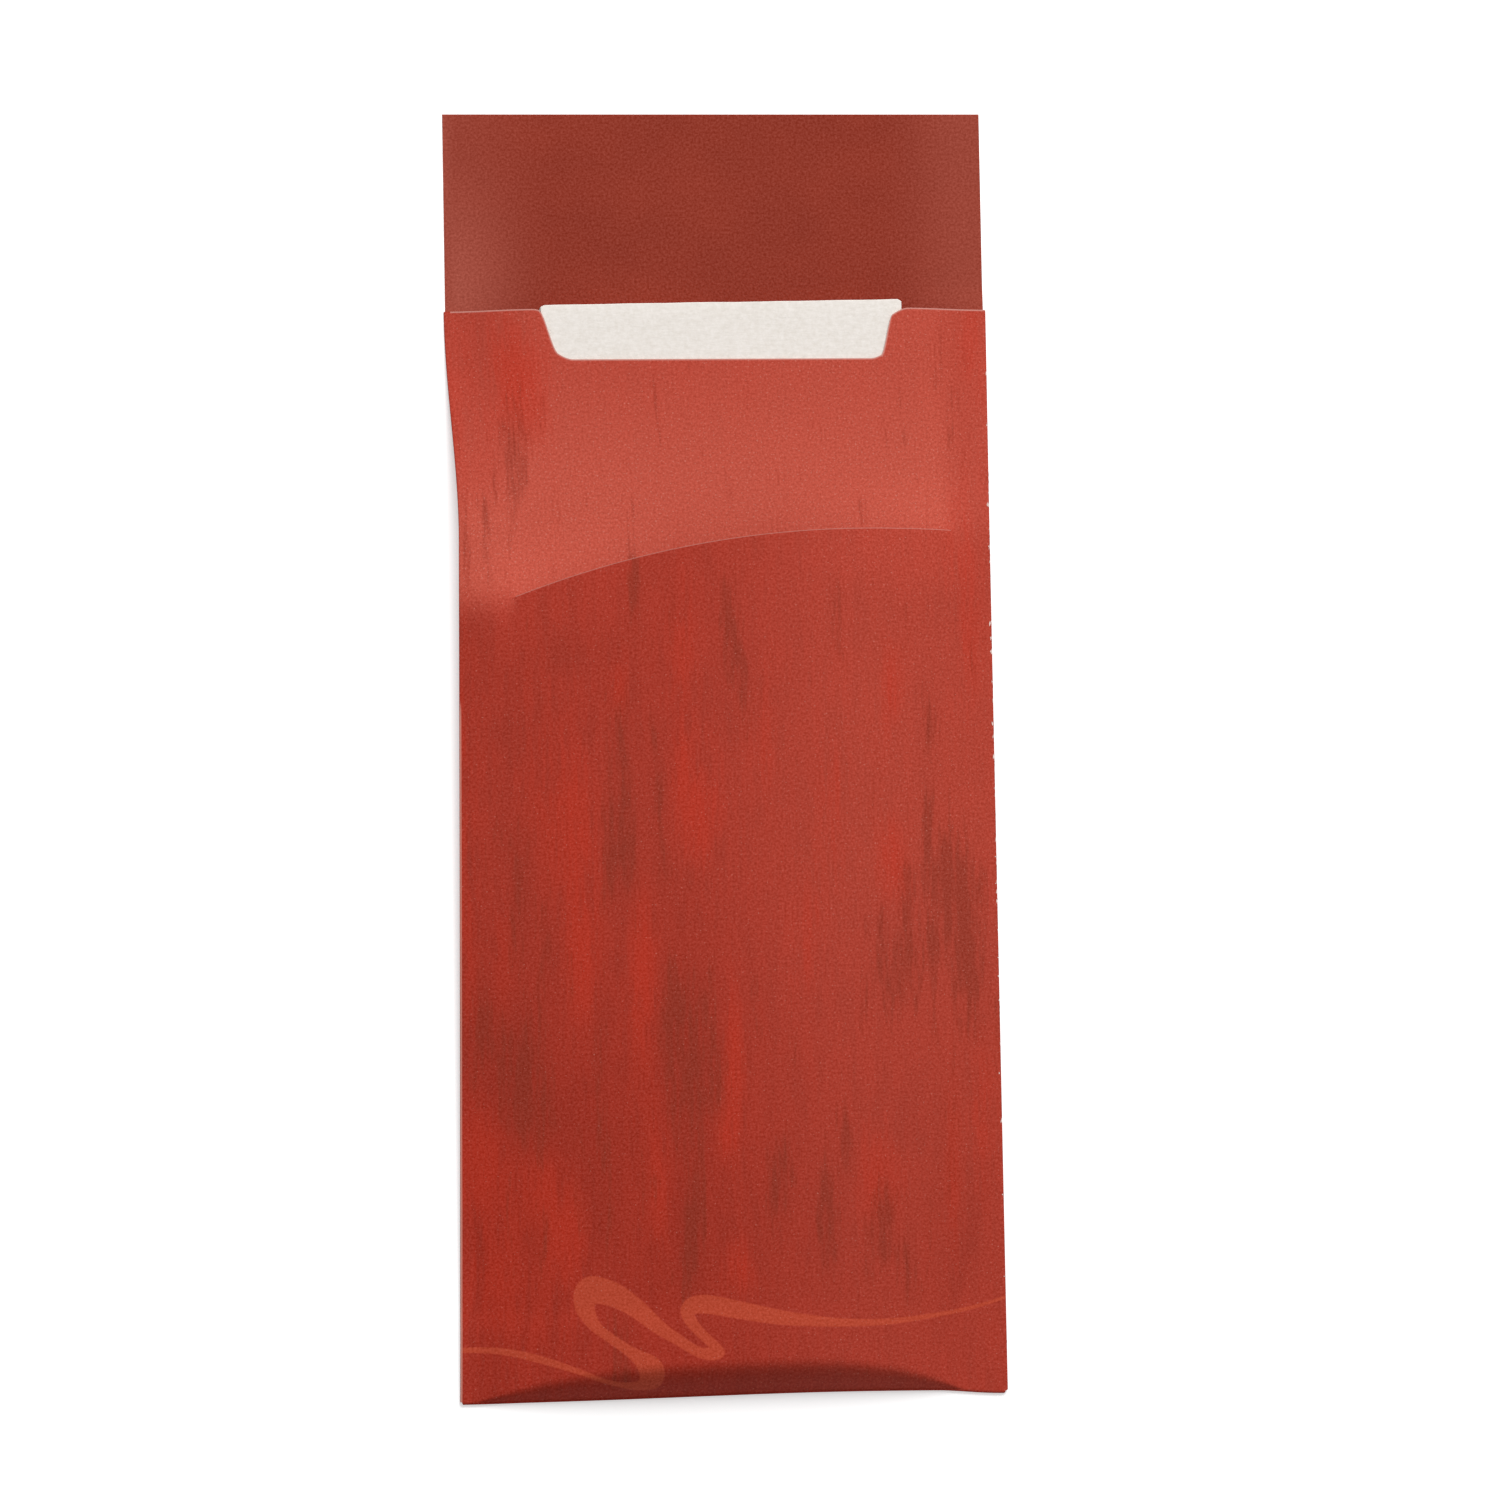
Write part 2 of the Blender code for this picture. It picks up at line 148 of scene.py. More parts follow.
# How finely the printed sheet is divided
FLAP_STEPS = 4
WRAP_STEPS = 6
FOLD_STEPS = 6
TOE_ROWS = 12
POCKET_ROWS = 130
UPPER_ROWS = 36
HEADER_ROWS = 24
FLANK_STEP = 0.24
EDGE_STEP = 0.8
MIDDLE_STEP = 0.9
BACK_EDGE_STEP = 2.0
BACK_STEP = 3.5
POCKET_CROWDING = 0.45

# Places that follow from the sizes above
PITCH = PAPER + GLUE_GAP
FOLD_RADIUS = PITCH / 2.0
WRAP_RADIUS = PITCH
LEFT_X = -BAG_WIDTH / 2.0 + FOLD_RADIUS + PAPER / 2.0
RIGHT_X = BAG_WIDTH / 2.0 - WRAP_RADIUS - PAPER / 2.0
BOTTOM_Y = WRAP_RADIUS + PAPER / 2.0
FLOOR_Z = PAPER / 2.0
NAPKIN_LEFT = NAPKIN_CENTRE - NAPKIN_WIDTH / 2.0
NAPKIN_RIGHT = NAPKIN_CENTRE + NAPKIN_WIDTH / 2.0
NAPKIN_UNDER = PAPER + PITCH + CLEARANCE
NAPKIN_STACK = NAPKIN_PITCH * (NAPKIN_PANELS - 1) + NAPKIN_LAYER
NAPKIN_FOLDS = 1.5 * NAPKIN_PITCH
TUCKED_Z = NAPKIN_UNDER + NAPKIN_STACK + CLEARANCE + PAPER / 2.0

# The blank's print is laid out on a square sheet this wide, with the bag's middle and foot here
SHEET_SPAN = 220.0
SHEET_ACROSS = 130.0
SHEET_UP = 15.0

# The soft fields that the paper's materials read: print, painted sheen and light, and the cut and fold
# lines
PRINT_AND_LIGHT_FIELDS = ("smear", "glow", "bloom", "ribbon_side", "ribbon_half", "cut_edge", "fold_edge")

# How they are drawn: how fast a spot fades and the square of its reach, both in half sizes, the
# part of the sheet near the ribbon, where the print is cracked, and how far up the left fold's pale line
# runs
OUT_OF_REACH = 9.0
SPOT_FALLOFF = 0.45
SPOT_REACH = 20.0
RIBBON_TOP = 26.0
RIBBON_MARGIN = 3.0
RIBBON_SPACING = 0.3
LIP_INSET = 0.12
WEAR_STARTS = 0.1
WEAR_ENDS = 0.75
WEAR_CLUMP = 6.0
PALE_FOLD_TOP = 106.0


def clamp(value):
    return min(1.0, max(0.0, value))


def smooth(value):
    """A soft rise from 0 at 0 to 1 at 1."""
    t = clamp(value)
    return t * t * (3.0 - 2.0 * t)


def fade(value, start, length):
    """0 up to the start, then a soft rise to 1 over this length."""
    return smooth((value - start) / length)


def mix(a, b, t):
    return a + (b - a) * t


def spread(start, stop, step):
    """Evenly spaced places from start up to but not on stop, about one step apart."""
    count = max(1, round(abs(stop - start) / step))
    return [mix(start, stop, k / count) for k in range(count)]


# The folded shape

def swell(y):
    """How much the puffed pocket pulls on the long edges: most at the slit, none at the ends."""
    if y < SLIT_CREST_Y:
        return max(0.0, y / SLIT_CREST_Y) ** SWELL_CURVE
    return 1.0 - fade(y, SLIT_CREST_Y, FRONT_HEIGHT - SLIT_CREST_Y)


def plan(x, y):
    """Where a point of the flat pattern lands in plan: puffing draws the edges in."""
    t = (x - LEFT_X) / (RIGHT_X - LEFT_X)
    left = LEFT_X + LEFT_DRAW * swell(y)
    right = RIGHT_X - RIGHT_DRAW * swell(y)
    across = (x - BOTTOM_PULL_CENTRE) / BOTTOM_PULL_SPREAD
    pull = BOTTOM_PULL * math.exp(-across * across) * (1.0 - smooth(y / TOE_GROWTH))
    pull *= smooth(t / CORNER_SHARE) * smooth((1.0 - t) / CORNER_SHARE)
    return mix(left, right, t), y + pull


def flap_step(x, y):
    """The back panel steps up by one layer where it lies on the glue flaps."""
    side = fade(x, RIGHT_X - FLAP - CLEARANCE - STEP_RAMP, STEP_RAMP)
    side *= 1.0 - smooth((y - FRONT_HEIGHT - CLEARANCE) / STEP_RAMP)
    foot = 1.0 - smooth((y - FLAP - BOTTOM_Y - CLEARANCE) / STEP_RAMP)
    return PITCH * max(side, foot)


def edge_lift(x, y):
    """The back's long edges curl up beside the puffed pocket, outside the napkin."""
    inner_left = NAPKIN_LEFT - CLEARANCE
    inner_right = NAPKIN_RIGHT + CLEARANCE
    left = clamp((inner_left - x) / (inner_left - LEFT_X))
    right = clamp((x - inner_right) / (RIGHT_X - inner_right))
    return swell(y) * (LEFT_LIFT * left * left + RIGHT_LIFT * right * right)


def back_z(x, y):
    """Height of the back panel's middle layer above the table."""
    return FLOOR_Z + flap_step(x, y) + edge_lift(x, y)


def slit_y(x):
    """Height of the slit: an arc that rises from its left end to a crest near its right end."""
    away = abs(min(SLIT_RIGHT, max(SLIT_LEFT, x)) - SLIT_CREST_X)
    return SLIT_CREST_Y - SLIT_DROP * (away / (SLIT_CREST_X - SLIT_LEFT)) ** SLIT_CURVE


def slit_gape(x):
    """How far the slit stands open: 0 at its ends and beyond them, 1 in its middle."""
    t = (2.0 * x - SLIT_LEFT - SLIT_RIGHT) / (SLIT_RIGHT - SLIT_LEFT)
    return max(0.0, 1.0 - t * t) ** GAPE_CURVE


def upper_slit_y(x):
    """The slit's upper edge tucks a little way under its lip, except at the slit's ends."""
    gape = slit_gape(x)
    if gape <= 0.0:
        return slit_y(x)
    tucked = fade(gape, TUCK_STARTS, TUCK_ENDS - TUCK_STARTS)
    return slit_y(x) + mix(SLIT_END_GAP, -SLIT_TUCK, tucked)


def notch_y(x):
    """The front's top edge: each flank of the thumb notch is round, steep and round again."""
    flank = smooth(max(NOTCH_LEFT - x, x - NOTCH_RIGHT) / NOTCH_FLANK)
    steep_left = (STEEP_LEFT_FROM - x) / STEEP_LEFT_WIDTH
    steep = smooth(max(steep_left, (x - STEEP_RIGHT_FROM) / STEEP_RIGHT_WIDTH))
    return FRONT_HEIGHT - NOTCH_DEPTH * (1.0 - mix(flank, steep, STEEP_SHARE))


def puff(x, y):
    """Height of the puffed pocket above the line between its two long edges."""
    grown = fade(y, TOE_TOP, TOE_GROWTH)
    left = mix(TOE_LEFT, LEFT_X, grown)
    right = mix(TOE_RIGHT, RIGHT_X, grown)
    bulge = mix(TOE_BULGE, POCKET_BULGE, grown)
    out = max((TOE_CENTRE - x) / (TOE_CENTRE - left), (x - TOE_CENTRE) / (right - TOE_CENTRE))
    room = mix(TOE_ROOM, POCKET_ROOM, grown)
    room = mix(room, LIP_ROOM, smooth((y - SLIT_CREST_Y) / TOE_GROWTH + 1.0))
    return (NAPKIN_STACK + room) * (1.0 - clamp(out) ** bulge)


def toe_y(x):
    """Where the steep toe of the pocket meets its front: a lens-shaped bend."""
    return BOTTOM_Y + max(TOE_LEAST, puff(x, TOE_TOP) / TOE_SLOPE)


def rounded_toe(top, slope):
    """The lower of the pocket's top and its toe's slope, with a rounded bend between them."""
    if top <= 0.0:
        return 0.0
    reach = TOE_ROUNDING * top
    share = clamp(0.5 + 0.5 * (slope - top) / reach)
    return mix(slope, top, share) - reach * share * (1.0 - share)


def pocket_z(x, y):
    """Height of the puffed front below the slit."""
    t = (x - LEFT_X) / (RIGHT_X - LEFT_X)
    edges = mix(back_z(LEFT_X, y), back_z(RIGHT_X, y), t)
    return edges + PITCH + rounded_toe(puff(x, y), TOE_SLOPE * (y - BOTTOM_Y))


def tucked_z(x, y):
    """The front above the slit lies on the napkin and runs on to the long folds."""
    inner_left = NAPKIN_LEFT - CLEARANCE
    inner_right = NAPKIN_RIGHT + CLEARANCE
    left = mix(back_z(LEFT_X, y) + PITCH, TUCKED_Z, fade(x, LEFT_X, inner_left - LEFT_X))
    right = mix(back_z(RIGHT_X, y) + PITCH, TUCKED_Z, smooth((RIGHT_X - x) / (RIGHT_X - inner_right)))
    return left if x < NAPKIN_CENTRE else right


def front_z(x, y, above_slit):
    low = pocket_z(x, y)
    high = tucked_z(x, y)
    joined = mix(low, high, smooth((y - slit_y(x)) / SLIT_BLEND + 0.5))
    return mix(joined, high if above_slit else low, slit_gape(x))


def handling(x, y):
    """The slight waves that handling leaves in the puffed front, none at its folds and edges."""
    inside = fade(x, LEFT_X, WAVE_MARGIN) * smooth((RIGHT_X - x) / WAVE_MARGIN)
    inside *= fade(y, WAVE_MARGIN, WAVE_FOOT_FADE)
    inside *= 1.0 - fade(y, WAVE_TOP, WAVE_TOP_FADE)
    return WAVE_HEIGHT * inside * noise.noise(Vector((x / WAVE_WIDTH, y / WAVE_LENGTH, WAVE_SEED)))


def front_lines():
    """Lines across the front, right to left, through the slit's ends and the notch's flanks."""
    marks = [LEFT_X, SLIT_LEFT, NOTCH_LEFT - NOTCH_FLANK, NOTCH_LEFT,
             NOTCH_RIGHT, NOTCH_RIGHT + NOTCH_FLANK, SLIT_RIGHT, RIGHT_X]
    steps = [EDGE_STEP, EDGE_STEP, FLANK_STEP, MIDDLE_STEP, FLANK_STEP, EDGE_STEP, EDGE_STEP]
    places = [RIGHT_X]
    for start, stop, step in zip(marks, marks[1:], steps):
        places += spread(start, stop, step)
    return sorted(places, reverse=True)


def back_lines():
    """Lines across the back, left to right, closer where it curls up or steps over the flap."""
    marks = [LEFT_X, NAPKIN_LEFT - CLEARANCE, NAPKIN_RIGHT + CLEARANCE, RIGHT_X]
    steps = [BACK_EDGE_STEP, BACK_STEP, BACK_EDGE_STEP]
    places = [RIGHT_X, RIGHT_X - FLAP - CLEARANCE]
    for start, stop, step in zip(marks, marks[1:], steps):
        places += spread(start, stop, step)
    return sorted(places)


FRONT_LINES = front_lines()
BACK_LINES = back_lines()

# The pattern's columns from left to right and its rows from bottom to top
WRAP_COLUMN = FLAP_STEPS
FRONT_COLUMN = WRAP_COLUMN + WRAP_STEPS
FOLD_COLUMN = FRONT_COLUMN + len(FRONT_LINES) - 1
BACK_COLUMN = FOLD_COLUMN + FOLD_STEPS
LAST_COLUMN = BACK_COLUMN + len(BACK_LINES) - 1
WRAP_ROW = FLAP_STEPS
FRONT_ROW = WRAP_ROW + WRAP_STEPS
SLIT_ROW = FRONT_ROW + TOE_ROWS + POCKET_ROWS
HEADER_ROW = SLIT_ROW + UPPER_ROWS
LAST_ROW = HEADER_ROW + HEADER_ROWS


def row_y(x, row, above_slit):
    """Height of a row of the pattern: rows follow the toe's bend, the slit and the notch."""
    if row > HEADER_ROW:
        return mix(FRONT_HEIGHT, BACK_HEIGHT, (row - HEADER_ROW) / HEADER_ROWS)
    if row > SLIT_ROW or above_slit:
        return mix(upper_slit_y(x), notch_y(x), (row - SLIT_ROW) / UPPER_ROWS)
    if row > FRONT_ROW + TOE_ROWS:
        t = (row - FRONT_ROW - TOE_ROWS) / POCKET_ROWS
        return mix(toe_y(x), slit_y(x), t * mix(POCKET_CROWDING, 1.0, t))
    return mix(BOTTOM_Y, toe_y(x), (row - FRONT_ROW) / TOE_ROWS)


# Each of these gives a point's place on the folded bag and its place on the flat print

def on_front(x, y, above_slit):
    px, py = plan(x, y)
    return (px, py, front_z(x, y, above_slit) + handling(x, y)), (x, y)


def on_back(x, row):
    left = row_y(LEFT_X, row, False)
    right = row_y(RIGHT_X, row, False)
    y = mix(left, right, (x - LEFT_X) / (RIGHT_X - LEFT_X))
    px, py = plan(x, y)
    return (px, py, back_z(x, y)), (LEFT_X - math.pi * FOLD_RADIUS - (x - LEFT_X), y)


def round_left_fold(turn, row):
    """From the front (turn 0) round the left edge to the back (turn 1)."""
    y = row_y(LEFT_X, row, False)
    px, py = plan(LEFT_X, y)
    angle = math.pi * turn
    z = back_z(LEFT_X, y) + FOLD_RADIUS + FOLD_RADIUS * math.cos(angle)
    return (px - FOLD_RADIUS * math.sin(angle), py, z), (LEFT_X - angle * FOLD_RADIUS, y)


def side_flap_y(row, out):
    """The side flap is mitred at its foot and tapered at its top."""
    foot = BOTTOM_Y + FLAP_MITRE_GAP + out
    top = FRONT_HEIGHT - FLAP_TAPER * out
    t = (row_y(RIGHT_X, row, False) - BOTTOM_Y) / (FRONT_HEIGHT - BOTTOM_Y)
    return mix(foot, top, t)


def round_right_fold(turn, row):
    """From the front (turn 0) round the back's right edge to the side flap (turn 1)."""
    y = mix(row_y(RIGHT_X, row, False), side_flap_y(row, 0.0), turn)
    px, py = plan(RIGHT_X, y)
    angle = math.pi * turn
    z = back_z(RIGHT_X, y) + WRAP_RADIUS * math.cos(angle)
    return (px + WRAP_RADIUS * math.sin(angle), py, z), (RIGHT_X + angle * WRAP_RADIUS, y)


def on_side_flap(out, row):
    x = RIGHT_X - out
    y = side_flap_y(row, out)
    px, py = plan(x, y)
    return (px, py, back_z(x, y) - PITCH), (RIGHT_X + math.pi * WRAP_RADIUS + out, y)


def bottom_flap_x(x, out):
    """The bottom flap is mitred at its right end and tapered at its left end."""
    left = LEFT_X + FLAP_MITRE_GAP + FLAP_TAPER * out
    right = RIGHT_X - FLAP_MITRE_GAP - out
    return mix(left, right, (x - LEFT_X) / (RIGHT_X - LEFT_X))


def round_bottom_fold(x, turn):
    """From the front (turn 0) round the back's bottom edge to the bottom flap (turn 1)."""
    x = mix(x, bottom_flap_x(x, 0.0), turn)
    px, py = plan(x, BOTTOM_Y)
    angle = math.pi * turn
    z = back_z(x, BOTTOM_Y) + WRAP_RADIUS * math.cos(angle)
    return (px, py - WRAP_RADIUS * math.sin(angle), z), (x, BOTTOM_Y - angle * WRAP_RADIUS)


def on_bottom_flap(x, out):
    x = bottom_flap_x(x, out)
    y = BOTTOM_Y + out
    px, py = plan(x, y)
    return (px, py, back_z(x, y) - PITCH), (x, BOTTOM_Y - math.pi * WRAP_RADIUS - out)


def in_pattern(column, row):
    """Whether the face that starts at this column and row is part of the flat pattern."""
    if row < FRONT_ROW:
        return FRONT_COLUMN <= column < FOLD_COLUMN
    return row < HEADER_ROW or column >= BACK_COLUMN


def on_slit(column, row):
    """Whether the edge that starts at this column and row is cut by the slit."""
    if row != SLIT_ROW or not FRONT_COLUMN <= column < FOLD_COLUMN:
        return False
    right = FRONT_LINES[column - FRONT_COLUMN]
    left = FRONT_LINES[column + 1 - FRONT_COLUMN]
    return left > SLIT_LEFT - 1e-6 and right < SLIT_RIGHT + 1e-6


def fold_bag(column, row, above_slit):
    """Where a point of the pattern lies on the folded bag, and where it lies on the flat print."""
    if column >= BACK_COLUMN:
        return on_back(BACK_LINES[column - BACK_COLUMN], row)
    if column > FOLD_COLUMN:
        return round_left_fold((column - FOLD_COLUMN) / FOLD_STEPS, row)
    if column < WRAP_COLUMN:
        return on_side_flap(FLAP * (WRAP_COLUMN - column) / FLAP_STEPS, row)
    if column < FRONT_COLUMN:
        return round_right_fold((FRONT_COLUMN - column) / WRAP_STEPS, row)
    x = FRONT_LINES[column - FRONT_COLUMN]
    if row < WRAP_ROW:
        return on_bottom_flap(x, FLAP * (WRAP_ROW - row) / FLAP_STEPS)
    if row < FRONT_ROW:
        return round_bottom_fold(x, (FRONT_ROW - row) / WRAP_STEPS)
    return on_front(x, row_y(x, row, above_slit), above_slit)


# The print, and the sheen and light painted onto it

# Dark dry-brush smears on the front: across, up, half width, half length, strength
FRONT_SMEARS = [
    (-33, 147, 1.8, 7, 0.8), (-38, 132, 1.2, 6, 0.4), (37, 154, 2.0, 8, 0.5), (28, 148, 1.2, 6, 0.3),
    (-15, 125, 0.9, 5, 0.7), (-9, 123, 0.8, 5, 0.5), (-0.3, 117, 1.3, 6, 0.8), (2, 111, 1.0, 4, 0.7),
    (16, 123, 0.9, 4, 0.6), (-17.4, 101, 1.2, 6, 0.9), (-17.7, 86, 1.7, 7, 1.0), (-12, 95, 1.0, 6, 0.8),
    (-11, 82, 1.2, 4, 0.5), (-33, 79, 1.5, 8, 0.8), (-36, 90, 1.0, 5, 0.4), (-28.7, 70, 1.0, 5, 0.6),
    (-8.5, 60, 3.2, 6, 0.8), (-6.7, 49, 3.8, 7, 0.9), (-33.7, 51, 3.2, 8, 0.9), (-39, 58, 1.8, 8, 0.5),
    (-21, 54, 1.0, 7, 0.6), (31, 80, 1.2, 13, 0.8), (25, 67, 2.6, 7, 0.6), (35.6, 75, 2.2, 8, 0.9),
    (38.5, 64, 2.2, 8, 0.8), (31, 102, 1.1, 10, 0.5), (2.5, 64, 0.7, 5, 0.5), (6.5, 34, 1.6, 5, 0.9),
    (9, 51, 0.8, 4, 0.5), (17.3, 38, 1.0, 4, 0.8), (14, 28, 1.5, 7, 0.9), (-7.4, 25, 1.7, 9, 0.9),
    (-31, 26, 1.4, 4, 0.8), (23, 27, 1.0, 6, 0.8), (27, 19, 1.1, 5, 0.8), (20.5, 20, 0.9, 5, 0.5),
    (-14, 34, 1.0, 6, 0.5), (-26, 43, 4.5, 5, 0.5), (-21, 30, 1.6, 6, 0.5), (33, 38, 1.8, 7, 0.4),
    (30, 73, 5.5, 9, 0.42), (-18.5, 10.5, 1.6, 4, 0.6), (-17, 4.5, 2.5, 2, 0.5),
]

# Places where the red ground is fuller and brighter
FRONT_GLOWS = [
    (-32, 157, 3.0, 7, 0.9), (-17.7, 109, 1.0, 4, 0.7), (-5.4, 90, 2.4, 6, 0.75), (-8.3, 99, 1.1, 5, 0.7),
    (-8, 117, 1.4, 9, 0.5), (-24.5, 87, 2.2, 9, 0.7), (-23.4, 69, 1.7, 8, 0.8), (-14.3, 64, 1.6, 10, 0.9),
    (25, 82, 1.7, 5, 0.75), (25.5, 108, 1.1, 5, 0.6), (-0.5, 52, 1.1, 8, 0.9), (-1.7, 41, 1.2, 3, 0.8),
    (-39, 37, 3.0, 7, 0.9), (-30, 31, 3.0, 6, 0.9), (-26.6, 25, 2.2, 4, 0.8), (-37, 20, 2.4, 5, 0.8),
    (-12.6, 35, 1.6, 8, 0.7), (22, 34, 2.8, 5, 0.6), (0.2, 20, 1.6, 3, 0.7), (34, 35, 1.0, 8, 0.6),
    (38, 124, 1.8, 12, 0.5), (-36, 66, 1.2, 8, 0.5), (12, 70, 1.5, 9, 0.4), (16, 95, 1.6, 9, 0.4),
    (40, 163, 1.7, 6, 0.4), (5, 104, 1.2, 7, 0.4), (39, 45, 1.4, 9, 0.5), (-41, 66, 1.0, 9, 0.5),
    (-29, 92, 4.5, 14, 0.4), (-31, 12, 5.0, 7, 0.4),
]

# The pale ribbon drawn across the foot of the front: across, up, half width
RIBBON = [
    (-43.8, 8.4, 0.36), (-36.5, 8.1, 0.5), (-30.5, 6.7, 0.57), (-24.4, 4.6, 0.42), (-20.8, 3.2, 0.33),
    (-17.6, 2.4, 0.45), (-15.3, 2.3, 0.75), (-13.8, 2.9, 1.25), (-13.4, 4.0, 1.9), (-14.0, 5.3, 1.6),
    (-16.2, 7.1, 0.9), (-19.4, 9.4, 0.72), (-22.0, 11.5, 0.86), (-23.5, 14.1, 1.35), (-23.7, 15.7, 1.6),
    (-22.9, 17.1, 2.05), (-21.6, 17.1, 2.05), (-18.9, 16.2, 1.8), (-16.0, 14.3, 1.49), (-12.2, 11.0, 1.06),
    (-9.6, 9.2, 0.86), (-7.1, 7.5, 0.78), (-5.5, 6.8, 0.83), (-4.1, 6.6, 0.92), (-3.1, 6.9, 0.85),
    (-3.8, 7.9, 0.75), (-6.2, 10.3, 0.77), (-7.5, 12.0, 0.92), (-8.0, 13.4, 1.02), (-7.3, 14.3, 1.25),
    (-6.0, 14.5, 1.43), (-4.0, 14.3, 1.46), (3.2, 12.7, 1.28), (7.9, 11.8, 1.06), (15.7, 11.0, 0.66),
    (23.6, 11.0, 0.47), (31.8, 12.0, 0.34), (36.8, 13.1, 0.28), (44.1, 15.4, 0.2),
]


def back_spots(count, seed, half_width, half_length):
    """Seeded spots for the print on the back panel, which lies left of the front on the blank."""
    dice = random.Random(seed)
    spots = []
    for _ in range(count):
        across = LEFT_X - dice.uniform(2.0, BAG_WIDTH)
        up = dice.uniform(2.0, BACK_HEIGHT - 2.0)
        size = dice.uniform(0.7, 1.8)
        spots.append((across, up, half_width * size, half_length * size, dice.uniform(0.5, 1.0)))
    return spots


SMEARS = FRONT_SMEARS + back_spots(44, 5, 1.3, 6.0)
GLOWS = FRONT_GLOWS + back_spots(30, 9, 1.8, 7.0)


def spots_at(across, up, spots):
    """How strongly the nearest soft spots cover a place on the print, from 0 to 1."""
    bare = 1.0
    for x, y, half_width, half_length, strength in spots:
        away = ((across - x) / half_width) ** 2 + ((up - y) / half_length) ** 2
        if away < SPOT_REACH:
            bare *= 1.0 - strength * math.exp(-SPOT_FALLOFF * away)
    return 1.0 - bare


def curve_through(points, steps):
    """Points on a smooth curve through the given ones."""
    places = []
    count = len(points)
    for k in range(count - 1):
        a, b, c, d = (points[min(count - 1, max(0, k + j))] for j in (-1, 0, 1, 2))
        for step in range(steps):
            t = step / steps
            place = []
            for p, q, r, s in zip(a, b, c, d):
                bend = 2.0 * q + (r - p) * t + (2.0 * p - 5.0 * q + 4.0 * r - s) * t * t
                place.append(0.5 * (bend + (3.0 * q - p - 3.0 * r + s) * t * t * t))
            places.append(tuple(place))
    places.append(points[-1])
    return places


RIBBON_LINE = curve_through(RIBBON, 10)


def ribbon_at(across, up):
    """The nearest place on the ribbon: signed distance from its middle, and its half width."""
    if up > RIBBON_TOP or across < LEFT_X - RIBBON_MARGIN:
        return OUT_OF_REACH, 0.0
    nearest = min(range(len(RIBBON_LINE) - 1), key=lambda k: (
        math.hypot(across - RIBBON_LINE[k][0], up - RIBBON_LINE[k][1]) - RIBBON_LINE[k][2]))
    x, y, half = RIBBON_LINE[nearest]
    run_x = RIBBON_LINE[nearest + 1][0] - RIBBON_LINE[max(0, nearest - 1)][0]
    run_y = RIBBON_LINE[nearest + 1][1] - RIBBON_LINE[max(0, nearest - 1)][1]
    away = math.hypot(across - x, up - y)
    lateral = ((up - y) * run_x - (across - x) * run_y) / math.hypot(run_x, run_y)
    return math.copysign(max(abs(lateral), away - RIBBON_SPACING), lateral), half


def fold_wear(across, up):
    """How much of the print has cracked off the right fold: most beside the slit.

    Each fade names a place on the print and the length over which it fades.
    """
    turn = (across - RIGHT_X) / (math.pi * WRAP_RADIUS)
    if not WEAR_STARTS < turn < WEAR_ENDS:
        return 0.0
    along = fade(up, 45.0, 30.0) * (1.0 - fade(up, 132.0, 20.0))
    clumps = noise.noise(Vector((up / WEAR_CLUMP, 0.0, 2.0)))
    return clamp(0.12 + along * (0.75 + 0.9 * clumps))


def painted_light_at(across, up, above_slit):
    """How much painted sheen and light make the red ground paler and pinker: most above the slit,
    where the sheet tilts towards the lamp, then towards the top and right and on the header's edges.

    Each fade names a place on the print and the length over which it fades.
    """
    if across < LEFT_X - math.pi * FOLD_RADIUS:
        # Painted light on the header's inner face: paler towards its left and right edges, less so high on
        # the left
        back_x = 2.0 * LEFT_X - across
        left = 0.55 * fade(-back_x, 24.0, 18.0) * (1.0 - 0.7 * fade(up, 172.0, 24.0))
        return left + 0.25 * fade(back_x, 26.0, 14.0)
    # Beyond the slit's ends the painted sheen above the slit and the painted light below it run into each
    # other
    side = 1.0 if above_slit else 0.0
    drifting = smooth((up - slit_y(across)) / 9.0 + 0.5)
    upper = mix(drifting, side, min(1.0, 4.0 * slit_gape(across)))
    upper *= mix(1.0, 0.5, fade(up, 138.0, 26.0)) * mix(0.95, 0.35, fade(across, 33.0, 6.0))
    left = mix(1.25, 0.6, fade(up, 132.0, 12.0))
    upper *= mix(left, 1.0, fade(across, -39.0, 9.0))
    # Painted light below the slit: paler towards the top and towards the right side
    lower = 0.12 * fade(up, 40.0, 50.0)
    lower += 0.26 * fade(across, -12.0, 36.0) * mix(0.8, 1.0, fade(up, 0.0, 70.0))
    return clamp(upper + lower * (1.0 - upper))


def lip_distance(across, up, above_slit):
    """How far a place on the pocket's print lies below the slit's cut lip."""
    if above_slit or not SLIT_LEFT < across < SLIT_RIGHT or up > slit_y(across) + 0.01:
        return OUT_OF_REACH
    return slit_y(across) - up + LIP_INSET


def top_distance(across, up):
    """How far a place on the print lies inside the sheet's top edge, square to that edge."""
    if across <= LEFT_X:
        return BACK_HEIGHT - up
    slope = (notch_y(across + 0.1) - notch_y(across - 0.1)) / 0.2
    return (notch_y(across) - up) / math.hypot(1.0, slope)


